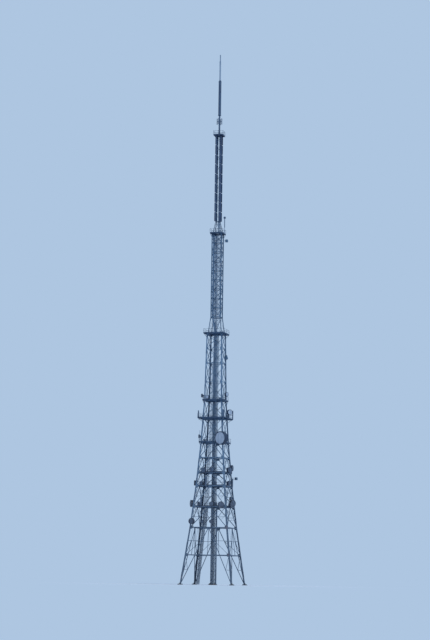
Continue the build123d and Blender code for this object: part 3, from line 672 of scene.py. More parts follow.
def clear_run(name):
    """Half the stretch of an edge that is clear of the legs."""
    return deck_half[name] if name in PLATE_DECKS else tower_half(deck_level[name]) - LEG_CUT


print("guard rails stand out:", [round(rail_line(name)[0], 3) for name in DECKS])

# %% Middle rails and toe boards
MIDDLE_RAIL, TOE_HEIGHT, TOE_THICK = 0.0035, 0.014, 0.0015
RAILS = ((RAIL_HEIGHT / 2, flat(MIDDLE_RAIL, MIDDLE_RAIL)), (TOE_HEIGHT / 2, flat(TOE_THICK, TOE_HEIGHT)))
rail_bars = Stock()
for name in DECKS:
    out, reach = rail_line(name)
    top = deck_level[name] + DECK_THICK
    for turns in SIDES:
        for height, section in RAILS:
            rail_bars.level(reach, out - RAIL_BAR / 2, top + height, section, turns=turns)
rail_bars.made("deck_rail_bars", "deck_steel")

# %% Beams under the decks
EDGE_DEPTH, JOIST_DEPTH, BEAM_THICK, JOIST_PITCH = 0.015, 0.010, 0.004, 0.09
EDGE_INSET, BRACKET_DROP, BRACKET_TIP_DROP = 0.022, 0.10, 0.006
spoke_beam, bracket = flat(BEAM_THICK, EDGE_DEPTH), flat(BEAM_THICK * 2, BEAM_THICK * 2)
joist = flat(BEAM_THICK * 0.7, JOIST_DEPTH)
mast_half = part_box("upper_mast")[1].x
deck_beams = Stock()
for name in DECKS:
    level, half = deck_level[name], deck_half[name]
    edge = half - EDGE_INSET if name in INSIDE_DECKS else half - BEAM_THICK
    run = clear_run(name) if name in INSIDE_DECKS else half
    inner = column_half + BEAM_THICK if name in PLATE_DECKS else half - WALKWAY
    tip, foot = half - BEAM_THICK * 2, mast_half if name == "eighth_deck" else tower_half(level)
    for turns in SIDES:
        for depth, out in ((EDGE_DEPTH, edge), (JOIST_DEPTH, inner)):
            deck_beams.level(min(run, out), out, level - depth / 2, flat(BEAM_THICK, depth), turns=turns)
        for across in spread(clear_run(name), JOIST_PITCH):
            deck_beams.inward(across, edge, inner, level - JOIST_DEPTH / 2, joist, turns)
        if name not in PLATE_DECKS:
            for hand in HANDS:
                across = hand * (SPOKE / 2 - BEAM_THICK)
                deck_beams.inward(across, column_half, inner, level - EDGE_DEPTH / 2, spoke_beam, turns)
        if name not in (*INSIDE_DECKS, "top_deck"):
            ends = [(-foot, -foot, level - BRACKET_DROP), (-tip, -tip, level - BRACKET_TIP_DROP)]
            deck_beams.length(*ends, bracket, UP, turns)
deck_beams.made("deck_beams", "deck_steel")

# %% Grating
GRATE_PITCH, GRATE_THICK, GRATE_HEIGHT = 0.014, 0.002, 0.0022
grate_bar = flat(GRATE_THICK, GRATE_HEIGHT)
grating = Stock()
for name in DECKS:
    top = deck_level[name] + DECK_THICK + GRATE_HEIGHT / 2
    outer = deck_half[name] - RAIL_BAR
    inner = column_half if name in PLATE_DECKS else deck_half[name] - WALKWAY
    run = outer if name in PLATE_DECKS else clear_run(name)
    for turns in SIDES:
        for across in spread(run, GRATE_PITCH):
            if abs(across) < inner or name not in PLATE_DECKS:
                grating.inward(across, outer, inner, top, grate_bar, turns)
            elif turns % 2:
                grating.inward(across, outer, -outer, top, grate_bar, turns)
grating.made("deck_grating", "deck_steel", galvanised)

# %% [markdown]
# ## Feeder column
# The column in the middle is the darkest thing in the picture, because it is packed with feeders, the thick
# cables that carry the signal up. They stand in rows on the column's faces, held by brackets, with a ladder
# up its middle. Up to the first deck, ten more climb outside its right face. Above the column the feeders
# spread to two faces of the square mast, the left and the back. That is why the left half of the mast looks
# solid and the right half open. Bevelled curves would do, but feeders run straight between their brackets,
# so each is a straight round length.

# %% Feeders, their brackets and the column's ladder
CABLE_RADIUS, CABLE_PITCH, CABLE_SIDES, CABLE_END = 0.0052, 0.0162, 10, 0.02
CABLE, HOLDER = rod(CABLE_RADIUS, CABLE_SIDES), flat(0.003, 0.010)
ROW, ROW_PLACE, ROW_SHIFT, BRACKET_PITCH = range(-2, 3), 0.037, -0.012, 0.24
LOWER_GAP, LOWER_REACH, HOLDER_LAP, COLUMN_MARGIN = 0.014, 0.042, 0.006, 0.012
RUNG_PITCH, LADDER_HALF, STILE, RUNG = 0.030, 0.018, rod(0.0026), rod(0.0014, 5)
column_low, column_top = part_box("feeder_column")[0].z, seventh
mast_low, mast_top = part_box("upper_mast")[0].z, deck_level["eighth_deck"]
feeders, feeder_brackets, ladders = Stock(), Stock(), Stock()


def ladder(foot, top, side):
    """A ladder between two points; side is the way from one stile to the other."""
    for hand in HANDS:
        shift = side * LADDER_HALF * hand
        ladders.length(foot + shift, top + shift, STILE, side)
    rungs = int((top - foot).length / RUNG_PITCH)
    for number in range(rungs):
        ends = [foot.lerp(top, (number + 0.5) / rungs) + side * LADDER_HALF * hand for hand in HANDS]
        ladders.length(*ends, RUNG, UP)


def bracket_levels(low, high, first=0.5):
    """The levels of the brackets of a height, and how much of a pitch the first is over its foot."""
    return [low + (number + first) * BRACKET_PITCH for number in range(int((high - low) / BRACKET_PITCH))]


column_rows = [Vector((ROW_SHIFT + step * CABLE_PITCH, row * ROW_PLACE, 0)) for row in HANDS for step in ROW]
column_rows += [Vector((-ROW_PLACE, step * CABLE_PITCH, 0)) for step in (-1, 0, 1)]
for place in column_rows:
    feeders.upright(place, column_low, column_top, CABLE)
lower_top, lower_place = deck_level["first_deck"] - CABLE_END, column_half + LOWER_GAP
for out in (lower_place, lower_place + CABLE_PITCH):
    for step in ROW:
        feeders.upright(Vector((out, step * CABLE_PITCH, 0)), column_low, lower_top, CABLE)
for level in bracket_levels(column_low, lower_top):
    for hand in HANDS:
        ends = [column_half - HOLDER_LAP, lower_place + CABLE_PITCH]
        feeder_brackets.length(*[(out, hand * LOWER_REACH, level) for out in ends], HOLDER, INWARD)
    ends = [(lower_place + CABLE_PITCH / 2, hand * LOWER_REACH, level) for hand in HANDS]
    feeder_brackets.length(*ends, HOLDER)
for hand in HANDS:
    for level in bracket_levels(column_low, column_top):
        feeder_brackets.level(column_half - COLUMN_MARGIN, -hand * (ROW_PLACE - CABLE_RADIUS), level, HOLDER)
ladder(UP * column_low, UP * mast_top, INWARD)
print("feeders in the column:", len(column_rows))

# %% Feeders of the square mast, fanned out from the column's rows
MAST_POST, MAST_LINE_RADIUS, MAST_LINE_PITCH = 0.024, 0.0078, 0.0185
LEFT_STEPS, BACK_STEPS, BACK_START = range(-4, 5), (1, 2, 3, 4, 6, 8, 10, 11), 0.115
RACK_BRACKET, RACK_END, MAST_LINE = flat(0.006, 0.012), 0.01, rod(MAST_LINE_RADIUS, CABLE_SIDES)
rack_place = mast_half - MAST_POST - MAST_LINE_RADIUS
rack = [Vector((-rack_place, step * MAST_LINE_PITCH, 0)) for step in LEFT_STEPS]
rack += [Vector((step * MAST_LINE_PITCH - BACK_START, rack_place, 0)) for step in BACK_STEPS]
rack_low, rack_high = mast_low + CABLE_END, mast_top - RACK_END
for number, place in enumerate(rack):
    start = column_rows[number % len(column_rows)]
    feeders.length(start + UP * column_top, place + UP * rack_low, CABLE)
    feeders.upright(place, rack_low, rack_high, MAST_LINE)
for level in bracket_levels(rack_low, rack_high + BRACKET_PITCH, 0.3):
    for way in HANDS:
        corners = ((-rack_place, rack_place, level), (way * rack_place, way * rack_place, level))
        feeder_brackets.length(*corners, RACK_BRACKET, UP)
feeders.made("column_feeders", "column_steel", cable_jacket)

# %% Zigzag bracing of the column
COLUMN_BAY, COLUMN_BAR, BAR_INSET, BAR_MARGIN = 0.16, flat(0.0036, 0.0036), 0.004, 0.010
column_bracing = Stock()
face = BAR_INSET - column_half
for turns in SIDES:
    for number, low, high in bays(column_low, column_top, int((column_top - column_low) / COLUMN_BAY)):
        reach = (column_half - BAR_MARGIN) * (1 if (number + turns) % 2 else -1)
        column_bracing.length((-reach, face, low), (reach, face, high), COLUMN_BAR, turns=turns)
column_bracing.made("column_bracing", "column_steel")

# %% [markdown]
# ## Riser on the back left leg
# One leg is darker and thicker than the others in the picture: a ladder and a cable rack climb inside it.
# Between the girt and the second deck it is wider, and low down a second row of cables fills it. From the
# fourth deck to the shaft's middle frame it stands nearer the column, where the picture shows a grey fill.
# One curve for each cable would have to bend with the leg, which leans less from stage to stage. Cables and
# rack are straight between those bends, so each is cut into one length per stage.

# %% Riser rack and cables
RACK_INSET, RISER_CABLE, CABLES, WIDE_CABLES, SECOND_ROW = 0.062, rod(0.0042, 8), 5, 7, -0.012
RISER_PITCH, RACK_PITCH, RACK_OVERHANG, RACK_BACK, RISER_LADDER = 0.019, 0.16, 0.7, 0.006, 0.045
RACK_BAR = flat(0.006, 0.003)


def riser_point(level, step, depth=0):
    """A place on the rack, step cables in from the leg."""
    half = tower_half(level) - RACK_INSET
    return Vector((-half + step * RISER_PITCH, half - depth, level))


riser, riser_rack = Stock(), Stock()
for low, high in zip(stages[:-2], stages[1:-1]):
    first = 2 if low >= fourth else 1
    last = first + (WIDE_CABLES if girt_level <= low < deck_level["second_deck"] else CABLES)
    for step in range(first, last):
        for shift, depth in ((0, 0), (0.5, SECOND_ROW)) if low < deck_level["first_deck"] else ((0, 0),):
            ends = [riser_point(level, step + shift, depth) for level in (low, high)]
            riser.length(*ends, RISER_CABLE)
    rungs = max(2, int((high - low) / RACK_PITCH))
    for number in range(rungs):
        level = low + (high - low) * (number + 0.5) / rungs
        ends = [riser_point(level, step, RACK_BACK) for step in (-RACK_OVERHANG, last - 1 + RACK_OVERHANG)]
        riser_rack.length(*ends, RACK_BAR, UP)
    ladder(riser_point(low, 1, RISER_LADDER), riser_point(high, 1, RISER_LADDER), ACROSS)
riser.made("riser_cables", "column_steel", cable_jacket)
riser_rack.made("riser_rack", "column_steel")
feeder_brackets.made("feeder_brackets", "column_steel")
ladders.made("ladders", "column_steel", galvanised)

# %% [markdown]
# ## Square mast
# The CAD mast has its posts, a frame at every bay and one diagonal a bay. A light counter diagonal makes each
# bay a cross, and at each frame angles tie the middles of neighbouring sides, so that the square can't fold.
# One loop over sides and bays makes them all, as a maker would cut them from one list.

# %% Counter diagonals of the square mast and its seats
MAST_BAYS, COUNTER_BAR, TIE = 9, flat(0.008, 0.003), angle(0.008, 0.002)
MAST_INSET, MAST_MARGIN, COUNTER_RISE, SEAT_INSET = 0.004, 0.012, 0.006, 0.008
mast_bracing = Stock()
out = mast_half - MAST_INSET
for turns in SIDES:
    for number, low, high in bays(mast_low, mast_top, MAST_BAYS):
        reach = (mast_half - MAST_MARGIN) * (-1 if (number + turns) % 2 else 1)
        mast_bracing.length((-reach, -out, low + COUNTER_RISE), (reach, -out, high), COUNTER_BAR, turns=turns)
        mast_bracing.length((0, -out, high - MAST_INSET), (out, 0, high - MAST_INSET), TIE, UP, turns)

for seat, ring in (("mast_seat", mast_half), ("panel_seat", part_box("panel_mast")[1].x)):
    seat_low, seat_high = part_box(seat)
    wide = seat_high.x
    for turns in SIDES:
        for hand in HANDS:
            start = (-hand * (wide - MAST_MARGIN), SEAT_INSET - wide, seat_low.z + SEAT_INSET)
            end = (hand * (ring - SEAT_INSET), SEAT_INSET - ring, seat_high.z - MAST_INSET)
            mast_bracing.length(start, end, COUNTER_BAR, turns=turns)
mast_bracing.made("mast_bracing", "mast_steel")

# %% [markdown]
# ## Panel mast
# Four stacks of antenna panels hide the slim mast's corners. Each panel has a cap at both ends and is clamped
# to its pole twice. Inside, thin level bars and crosses stiffen the mast, and four slim feeders climb beside
# its middle, so that a narrow gap stays open to their left. The panels face along the diagonals, so one
# function gives points on the diagonal through a corner.

# %% Panel caps, clamps and the slim mast's inside
TIERS, PANEL_GAP, PANEL_POLE, PANEL_WIDTH, PANEL_DEPTH = 9, 0.026, 0.010, 0.056, 0.024
PANEL_SLOPE, CAP_THICK, CAP_GROWTH = math.radians(70), 0.003, 0.0015
CLAMP, CLAMP_HALF, CLAMP_INSET, SLIM_POST = flat(0.016, 0.016), 0.004, 0.035, 0.012
SLIM_FEEDER, SLIM_START, SLIM_PITCH = rod(0.0052, 8), 0.006, 0.013
LEVEL_STAY, CROSS_STAY = flat(0.004, 0.003), flat(0.003, 0.002)
panel_low, panel_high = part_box("antenna_panels")[0].z, deck_level["top_deck"]
post_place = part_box("panel_mast")[1].x - SLIM_POST * math.sqrt(0.5)
pole_place = math.sqrt(2) * post_place + SLIM_POST / 2 + PANEL_POLE / 2
panel_back = pole_place + PANEL_POLE / 2
half_back = PANEL_WIDTH / 2 + CAP_GROWTH
half_face = PANEL_WIDTH / 2 - PANEL_DEPTH / math.tan(PANEL_SLOPE) + CAP_GROWTH
tier = (panel_high - panel_low) / TIERS


def corner_point(turns, out, across, level):
    """A point on the diagonal through a corner of the slim mast."""
    way = quarter((math.sqrt(0.5), math.sqrt(0.5), 0), turns)
    return way * out + Vector((-way.y, way.x, 0)) * across + UP * level


panel_caps, panel_clamps, panel_feeders = Stock(), Stock(), Stock()
for turns in SIDES:
    corners = [(panel_back - CAP_GROWTH, hand * half_back) for hand in HANDS]
    corners += [(panel_back + PANEL_DEPTH + CAP_GROWTH, -hand * half_face) for hand in HANDS]
    for number in range(TIERS):
        low = panel_low + number * tier + PANEL_GAP / 2
        high = low + tier - PANEL_GAP
        for level in (low - CAP_THICK / 2, high - CAP_THICK / 2):
            outline = [corner_point(turns, out, across, level) for out, across in corners]
            panel_caps.plate(outline, UP * CAP_THICK)
        for level in (low + CLAMP_INSET, high - CLAMP_INSET):
            pole = corner_point(turns, pole_place, 0, 0)
            panel_clamps.upright(pole, level - CLAMP_HALF, level + CLAMP_HALF, CLAMP, pole)
        panel_clamps.level(post_place, post_place, (low + high) / 2, LEVEL_STAY, UP, turns)
        ends = [(hand * post_place, -post_place, level) for hand, level in zip(HANDS, (low, high))]
        panel_clamps.length(*ends, CROSS_STAY, turns=turns)
    place = ACROSS * (SLIM_START + turns * SLIM_PITCH)
    panel_feeders.upright(place, mast_top + DECK_THICK, panel_high, SLIM_FEEDER)
panel_caps.made("panel_caps", "panel_shell")
panel_clamps.made("panel_clamps", "mast_steel")
panel_feeders.made("panel_feeders", "column_steel", cable_jacket)

# %% [markdown]
# ## Spire
# The spire is a stout moulded cylinder on a flanged pole, with a pale whip above it. Bolted flanges close its
# ends, two bands cover the joints between its three lengths, and fins stiffen the pole's foot. A cylinder
# with a bevel could make a band or a flange. A turned profile makes it in one step, with its bevel drawn in.

# %% Bands, flanges and collars of the spire
POLE_RADIUS, FLANGE_THICK, FLANGE_INSET, FLANGE_BOLT = 0.024, 0.014, 0.010, 0.005
BAND, BEVEL, CONE_STEPS, CONE_TIP = 0.018, 0.0015, (0.006, 0.03, 0.036), 0.004
RING_LAP, RING_THICK, RING_BEVEL, RING_GROWTH = 0.004, 0.008, 0.001, 0.006
RING_BOLTS, RING_BOLT, BOLT_INSET = 12, 0.0022, 0.0028
FINS, FIN_REACH, FIN_RISE, FIN_THICK = 8, 0.018, 0.045, 0.003
(_, _, spire_low), (spire_radius, _, spire_high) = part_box("spire")
pole_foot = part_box("spire_pole")[0].z + FLANGE_THICK
flange_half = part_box("spire_pole")[1].x
whip_low, whip_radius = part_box("whip")[0].z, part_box("whip")[1].x

spire_bands, spire_metal = Stock(), Stock()
wide = spire_radius + BEVEL
band = ((0, spire_radius), (BEVEL, wide), (BAND, wide), (BAND + BEVEL, spire_radius))
for share in (1 / 3, 2 / 3):
    spire_bands.turned((0, 0, spire_low + (spire_high - spire_low) * share), UP, band, 48)
cone_radii = spire_radius, spire_radius - CONE_TIP, whip_radius + CONE_TIP, whip_radius
spire_bands.turned((0, 0, spire_high), UP, list(zip((0, *CONE_STEPS), cone_radii)), 48)
spire_bands.made("spire_bands", "spire_shell")

ring = spire_radius + RING_GROWTH
flange = [(0, ring - RING_BEVEL), (RING_BEVEL, ring)]
flange += [(RING_THICK - RING_BEVEL, ring), (RING_THICK, ring - RING_BEVEL)]
for level in (spire_low - RING_LAP, spire_high - RING_THICK):
    spire_metal.turned((0, 0, level), UP, flange, 48)
    for number in range(RING_BOLTS):
        turn, circle = math.tau * number / RING_BOLTS, ring - BOLT_INSET
        spire_metal.bolt((math.cos(turn) * circle, math.sin(turn) * circle, level), -UP, RING_BOLT)
for x, y in rod(1, FINS):
    way = Vector((x, y, 0))
    foot = way * POLE_RADIUS + UP * pole_foot
    fin = [foot, foot + way * FIN_REACH, foot + UP * FIN_RISE]
    spire_metal.plate(fin, Vector((-y, x, 0)) * FIN_THICK)
for x in HANDS:
    for y in HANDS:
        seat = Vector((x, y, 0)) * (flange_half - FLANGE_INSET) + UP * pole_foot
        spire_metal.bolt(seat, UP, FLANGE_BOLT)
spire_metal.made("spire_flanges", "spire_steel")

COLLAR_RISE, WHIP_STEP_LEVEL, WHIP_TIP_RADIUS = 0.037, 15.04, 0.014
COLLAR = ((0, 0), (0.004, 0.004), (0.016, 0.004), (0.022, 0))
whip_collars = Stock()
for level, radius in ((whip_low + COLLAR_RISE, whip_radius), (WHIP_STEP_LEVEL, WHIP_TIP_RADIUS)):
    whip_collars.turned((0, 0, level), UP, [(rise, radius + growth) for rise, growth in COLLAR], 32)
whip_collars.made("whip_collars", "whip_shell")

# %% [markdown]
# ## Dishes
# The CAD dishes are drums with flat sides. Here each gets a smooth spun body a hair outside it, a cloth cover
# stretched over its mouth with a hoop round the edge, and struts back to its pipe. Subdividing the drum would
# round off its rim, and a spun profile keeps it sharp. Each dish is found from its deck, its side and how far
# it stands along that side, as in the CAD model.

# %% Where the small dishes stand: deck, side, along it, height, yaw, radius, depth
SMALL_DISHES = (
    ("sixth_deck", RIGHT, -0.200, 0.150, -20, 0.062, 0.042),
    ("sixth_deck", LEFT, 0.060, 0.140, 20, 0.050, 0.036),
    ("sixth_deck", FRONT, -0.130, 0.070, -10, 0.050, 0.036),
    ("fifth_deck", RIGHT, -0.230, 0.150, -35, 0.076, 0.050),
    ("fourth_deck", LEFT, 0.030, 0.180, 10, 0.050, 0.036),
    ("third_deck", RIGHT, -0.150, 0.060, -30, 0.082, 0.052),
    ("third_deck", RIGHT, 0.060, 0.130, 0, 0.082, 0.052),
    ("third_deck", FRONT, 0.060, 0.060, 0, 0.062, 0.042),
    ("third_deck", FRONT, -0.165, 0.040, -15, 0.070, 0.046),
    ("second_deck", LEFT, 0.150, 0.080, 20, 0.070, 0.046),
    ("second_deck", RIGHT, -0.290, 0.070, -20, 0.062, 0.042),
    ("second_deck", FRONT, -0.230, 0.060, -10, 0.048, 0.034),
    ("first_deck", RIGHT, -0.120, 0.090, -30, 0.096, 0.060),
    ("first_deck", RIGHT, -0.330, 0.040, -10, 0.084, 0.056),
    ("first_deck", RIGHT, -0.240, 0.220, -20, 0.048, 0.034),
    ("first_deck", FRONT, 0.330, 0.040, 20, 0.084, 0.056),
    ("first_deck", LEFT, 0.200, 0.080, 30, 0.096, 0.060),
    ("first_deck", FRONT, 0.070, 0.060, 10, 0.062, 0.042),
    ("girt", FRONT, -0.440, 0.164, -20, 0.084, 0.056),
    ("girt", FRONT, -0.140, 0.150, -10, 0.048, 0.034),
    ("girt", FRONT, 0.075, 0.160, 15, 0.048, 0.034),
)
GIRT_SEAT, ARM_REACH = 1.586, 0.030


def perch(name, turns, along):
    """Where a pipe stands outside a deck's edge or the girt, at the underside of what its arm stands on."""
    level = GIRT_SEAT if name == "girt" else deck_level[name]
    outer = deck_half[name] if name in DECKS[3:] else tower_half(level)
    return quarter((along, -outer - ARM_REACH, level), turns)


def facing_way(turns, yaw):
    return Matrix.Rotation(turns * math.pi / 2 + math.radians(yaw), 3, "Z") @ -INWARD


print("small dishes:", len(SMALL_DISHES))

# %% Smooth bodies, covers and hoops of the small dishes
HUB_LENGTH, HUB_RADIUS, HUB_LAP, SKIN = 0.014, 0.014, 0.004, 0.0008
HOOP, HOOP_BACK, HOOP_LIP, HOOP_BEVEL = 0.0045, -0.012, 0.001, 0.002
SPUN_SHARES = ((0.3, 0.62), (0.7, 0.86))
COVER_RISE, COVER_MIDDLE, COVER_SHARES = 0.0875, 0.001, (1, 0.9, 0.7, 0.45, 0.2, 0)
STRUT, STRUT_DROP, PIPE_CLAMP, CLAMP_RISE = rod(0.0018), 0.022, ((-0.003, 0.012), (0.003, 0.012)), 0.012
dish_bodies, pale_covers, shaded_covers, dish_hoops = Stock(), Stock(), Stock(), Stock()


def covered_mouth(covers, middle, facing, radius, sides):
    """A cloth cover, domed a little, and the hoop that holds it."""
    rise = COVER_RISE * radius
    dome = [(rise * (1 - share ** 2), max(radius * share, COVER_MIDDLE)) for share in COVER_SHARES]
    covers.turned(middle, facing, dome, sides)
    wide = radius + HOOP * 0.6
    hoop = [(HOOP_BACK, radius), (HOOP_BACK + HOOP_BEVEL, wide), (HOOP_LIP, wide)]
    hoop += [(HOOP + rise * 0.3, wide - HOOP_BEVEL), (rise * 0.4, radius * 0.9)]
    dish_hoops.turned(middle, facing, hoop, sides, open_end=True)


for name, turns, along, height, yaw, radius, depth in SMALL_DISHES:
    facing = facing_way(turns, yaw)
    hub = perch(name, turns, along) + UP * height
    rim = HUB_LENGTH + radius / 4
    body = [(HUB_LENGTH - HUB_LAP, HUB_RADIUS + SKIN)]
    body += [(HUB_LENGTH + share * (rim - HUB_LENGTH), radius * part) for share, part in SPUN_SHARES]
    body += [(rim, radius + SKIN), (rim + depth, radius + SKIN)]
    dish_bodies.turned(hub, facing, body, 40)
    # Dishes below the fourth deck get the dark cloth, which is painted shade.
    covers = pale_covers if name in DECKS[3:] else shaded_covers
    covered_mouth(covers, hub + facing * (rim + depth), facing, radius, 40)
    for hand in HANDS:
        tip = hub + facing * (rim + depth * 0.3) + (facing.cross(UP) * hand * 0.75 - UP * 0.6) * radius
        dish_hoops.length(hub - UP * STRUT_DROP, tip, STRUT)
    for hand in HANDS:
        dish_hoops.turned(hub + UP * CLAMP_RISE * hand, UP, PIPE_CLAMP, 8)
print("faces of the small dishes' bodies:", len(dish_bodies.faces))

# %% The large dish
LARGE_RADIUS, LARGE_DEPTH, LARGE_BOWL, LARGE_RISE, LARGE_BACK = 0.185, 0.120, 0.060, 0.089, 0.021
LARGE_YAW, PIPE_INSET, STRUT_RISE = -25, 0.016, 0.07
RIBS, RIB_THICK, RIB_DEPTH, RING_DROP = 16, 0.003, 0.009, 0.004
BACK_RING, LARGE_STRUT = rod(0.0022), rod(0.003)
BOWL_SHARES, RING_SHARES = (0.14, 0.3, 0.45, 0.6, 0.75, 0.9, 1), (0.45, 0.75)
pipe_place = deck_half["fourth_deck"] + PIPE_INSET
large_facing = facing_way(FRONT, LARGE_YAW)
large_middle = Vector((pipe_place, -pipe_place, fourth + LARGE_RISE))
spokes = [Matrix.Rotation(math.tau * number / RIBS, 3, large_facing) @ UP for number in range(RIBS + 1)]


def bowl_place(share):
    """How far along its axis the bowl is, at a share of its radius."""
    return LARGE_BACK + LARGE_BOWL * share ** 2


def dish_point(place, way, radius):
    """A point of the large dish: so far along its axis, and so far out from it one way."""
    return large_middle + large_facing * place + way * radius


bowl = [(bowl_place(share), max(LARGE_RADIUS * share, HUB_RADIUS) + SKIN) for share in BOWL_SHARES]
mouth = LARGE_BACK + LARGE_BOWL + LARGE_DEPTH
dish_bodies.turned(large_middle, large_facing, [*bowl, (mouth, LARGE_RADIUS + SKIN)], 72)
covered_mouth(pale_covers, large_middle + large_facing * mouth, large_facing, LARGE_RADIUS, 72)
for spoke in spokes[:-1]:
    outline = [dish_point(place, spoke, radius) for place, radius in bowl]
    outline += [dish_point(place - RIB_DEPTH, spoke, radius) for place, radius in bowl[-2::-1]]
    dish_hoops.plate(outline, large_facing.cross(spoke) * RIB_THICK)
for share in RING_SHARES:
    for ways in zip(spokes, spokes[1:]):
        ends = [dish_point(bowl_place(share) - RING_DROP, way, LARGE_RADIUS * share) for way in ways]
        dish_hoops.length(*ends, BACK_RING)
for hand in HANDS:
    side = large_facing.cross(UP) * hand
    tip = dish_point(LARGE_BACK + LARGE_BOWL, side, LARGE_RADIUS * 0.9) + UP * STRUT_RISE
    dish_hoops.length(large_middle + UP * STRUT_RISE, tip, LARGE_STRUT)
# Bodies, hoops and struts take the dish_shell finish, whose near-black colour is painted shade.
dish_bodies.made("dish_bodies", "dish_shell")
pale_covers.made("pale_dish_covers", "dish_shell", cover_cloth)
shaded_covers.made("painted_shade_dish_covers", "dish_shell", shaded_cover_cloth)
dish_hoops.made("dish_hoops_and_struts", "dish_shell")

# %% [markdown]
# ## Aerials
# Panel aerials are closed at both ends by caps and clamped to their pipes, and each whip has a ferrule at its
# foot. One whip, on the eighth deck, carries a sleeve and a ball, since it shows darker than the others in
# the picture. A drum stands out on an arm under that deck, another at the back right leg over the second
# deck, and a lamp unit is bolted to a leg above the shaft's middle frame, where the picture has a dark spot.
# The aerials themselves are in the CAD model, so these small parts are set from the same numbers.

# %% Where the aerials stand: deck, side, along it, then foot and height, or height alone
PANEL_AERIALS = (
    ("second_deck", FRONT, -0.115, -0.020, 0.260),
    ("second_deck", RIGHT, 0.260, -0.020, 0.240),
    ("second_deck", BACK, 0.150, -0.020, 0.220),
    ("first_deck", FRONT, -0.230, 0.020, 0.220),
    ("first_deck", BACK, -0.200, 0.020, 0.220),
    ("third_deck", RIGHT, 0.250, -0.020, 0.200),
    ("fifth_deck", RIGHT, 0.250, -0.020, 0.260),
    ("fifth_deck", FRONT, 0.360, 0.020, 0.200),
    ("fifth_deck", LEFT, 0.160, 0.020, 0.200),
)
WHIP_AERIALS = (
    ("eighth_deck", RIGHT, -0.080, 0.480),
    ("sixth_deck", BACK, -0.150, 0.360),
    ("fourth_deck", LEFT, 0.150, 0.340),
    ("fourth_deck", BACK, 0.150, 0.340),
)
print("aerials:", len(PANEL_AERIALS) + len(WHIP_AERIALS))

# %% Caps and clamps of the aerials
AERIAL_DEPTH, AERIAL_CAP, CAP_LAP, CAP_REST = 0.020, 0.004, 0.001, 0.003
CLAMP_RISES, WHIP_FOOT, FERRULE_DROP, TIP_DROP = (0.04, 0.05), 1 / 3, 0.010, 0.006
POLE_PANEL_LOW, POLE_PANEL_HIGH, POLE_CAP_OUT = 13.17, 13.34, 0.068
POLE_CLAMP_GAP, POLE_CLAMP_HALF = 0.002, 0.012
PLAIN_CAP, POLE_CAP = flat(0.047, 0.023), flat(0.037, 0.019)
PLAIN_CLAMP, POLE_CLAMP = flat(0.021, 0.019), flat(0.026, 0.008)
FERRULE, TIP = ((0, 0.0090), (0.012, 0.0090), (0.020, 0.0065)), ((0, 0.0068), (0.005, 0.0068), (0.006, 0.005))
aerial_caps, aerial_metal = Stock(), Stock()
for name, turns, along, foot, height in PANEL_AERIALS:
    pipe, across = perch(name, turns, along), quarter(ACROSS, turns)
    middle = pipe + quarter(-INWARD, turns) * AERIAL_DEPTH / 2
    for level in (foot - CAP_LAP, foot + height - CAP_REST):
        aerial_caps.upright(middle, level, level + AERIAL_CAP, PLAIN_CAP, across)
    for level in (foot + CLAMP_RISES[0], foot + height - CLAMP_RISES[1]):
        aerial_metal.upright(pipe, level - CLAMP_HALF, level + CLAMP_HALF, PLAIN_CLAMP, across)
for name, turns, along, height in WHIP_AERIALS:
    pipe = perch(name, turns, along)
    aerial_metal.turned(pipe + UP * (height * WHIP_FOOT - FERRULE_DROP), UP, FERRULE, 12)
    aerial_metal.turned(pipe + UP * (height - TIP_DROP), UP, TIP, 10)
pole_middle = (POLE_PANEL_LOW + POLE_PANEL_HIGH) / 2
for turns in SIDES:
    outward, across = quarter(-INWARD, turns), quarter(ACROSS, turns)
    for level in (POLE_PANEL_LOW - CAP_LAP, POLE_PANEL_HIGH - CAP_REST):
        aerial_caps.upright(outward * POLE_CAP_OUT, level, level + AERIAL_CAP, POLE_CAP, across)
    seat = outward * (POLE_RADIUS + POLE_CLAMP_GAP) + UP * pole_middle
    aerial_metal.upright(seat, -POLE_CLAMP_HALF, POLE_CLAMP_HALF, POLE_CLAMP, across)
print("caps of the panel aerials:", 2 * (len(PANEL_AERIALS) + len(SIDES)))

# %% The sleeve and ball of one whip, the lamp unit on a leg, and the drums on arms
BALL_RADIUS, BALL_RINGS = 0.035, 12
SLEEVE_RADIUS, SLEEVE_NECK, SLEEVE_BEVEL, SLEEVE_GAP = 0.0115, 0.009, 0.005, 0.012
LAMP_LEVEL, LAMP_ALONG, LAMP_STAND, LAMP_ARM = 6.35, 0.12, 0.022, flat(0.012, 0.012)
LAMP = ((0, 0.044), (0.006, 0.054), (0.050, 0.054), (0.058, 0.042), (0.100, 0.040), (0.118, 0.016))
DRUM, DRUM_ARM = ((0, 0.034), (0.004, 0.040), (0.070, 0.040), (0.076, 0.030)), flat(0.008, 0.008)
DRUM_LEVEL, DRUM_REACH, DRUM_ARM_RISES = 9.705, 0.13, (0.012, 0.058)
CORNER_DRUM_RISE, CORNER_DRUM_REACH, ARM_LAP, CORNER_INSET = 0.19, 0.135, 0.01, 0.02

name, turns, along, height = WHIP_AERIALS[0]
pipe = perch(name, turns, along)
sleeve_top = height * (1 - WHIP_FOOT) - BALL_RADIUS - SLEEVE_GAP
sleeve = ((0, SLEEVE_NECK), (SLEEVE_BEVEL, SLEEVE_RADIUS), (sleeve_top, SLEEVE_RADIUS))
aerial_caps.turned(pipe + UP * (height * WHIP_FOOT + SLEEVE_GAP), UP, sleeve, 16)
steps = [math.pi * (number / BALL_RINGS - 0.5) for number in range(1, BALL_RINGS)]
ball = [(BALL_RADIUS * math.sin(step), BALL_RADIUS * math.cos(step)) for step in steps]
aerial_caps.turned(pipe + UP * (height - BALL_RADIUS), UP, ball, 20)
aerial_caps.made("aerial_caps", "aerial_shell")

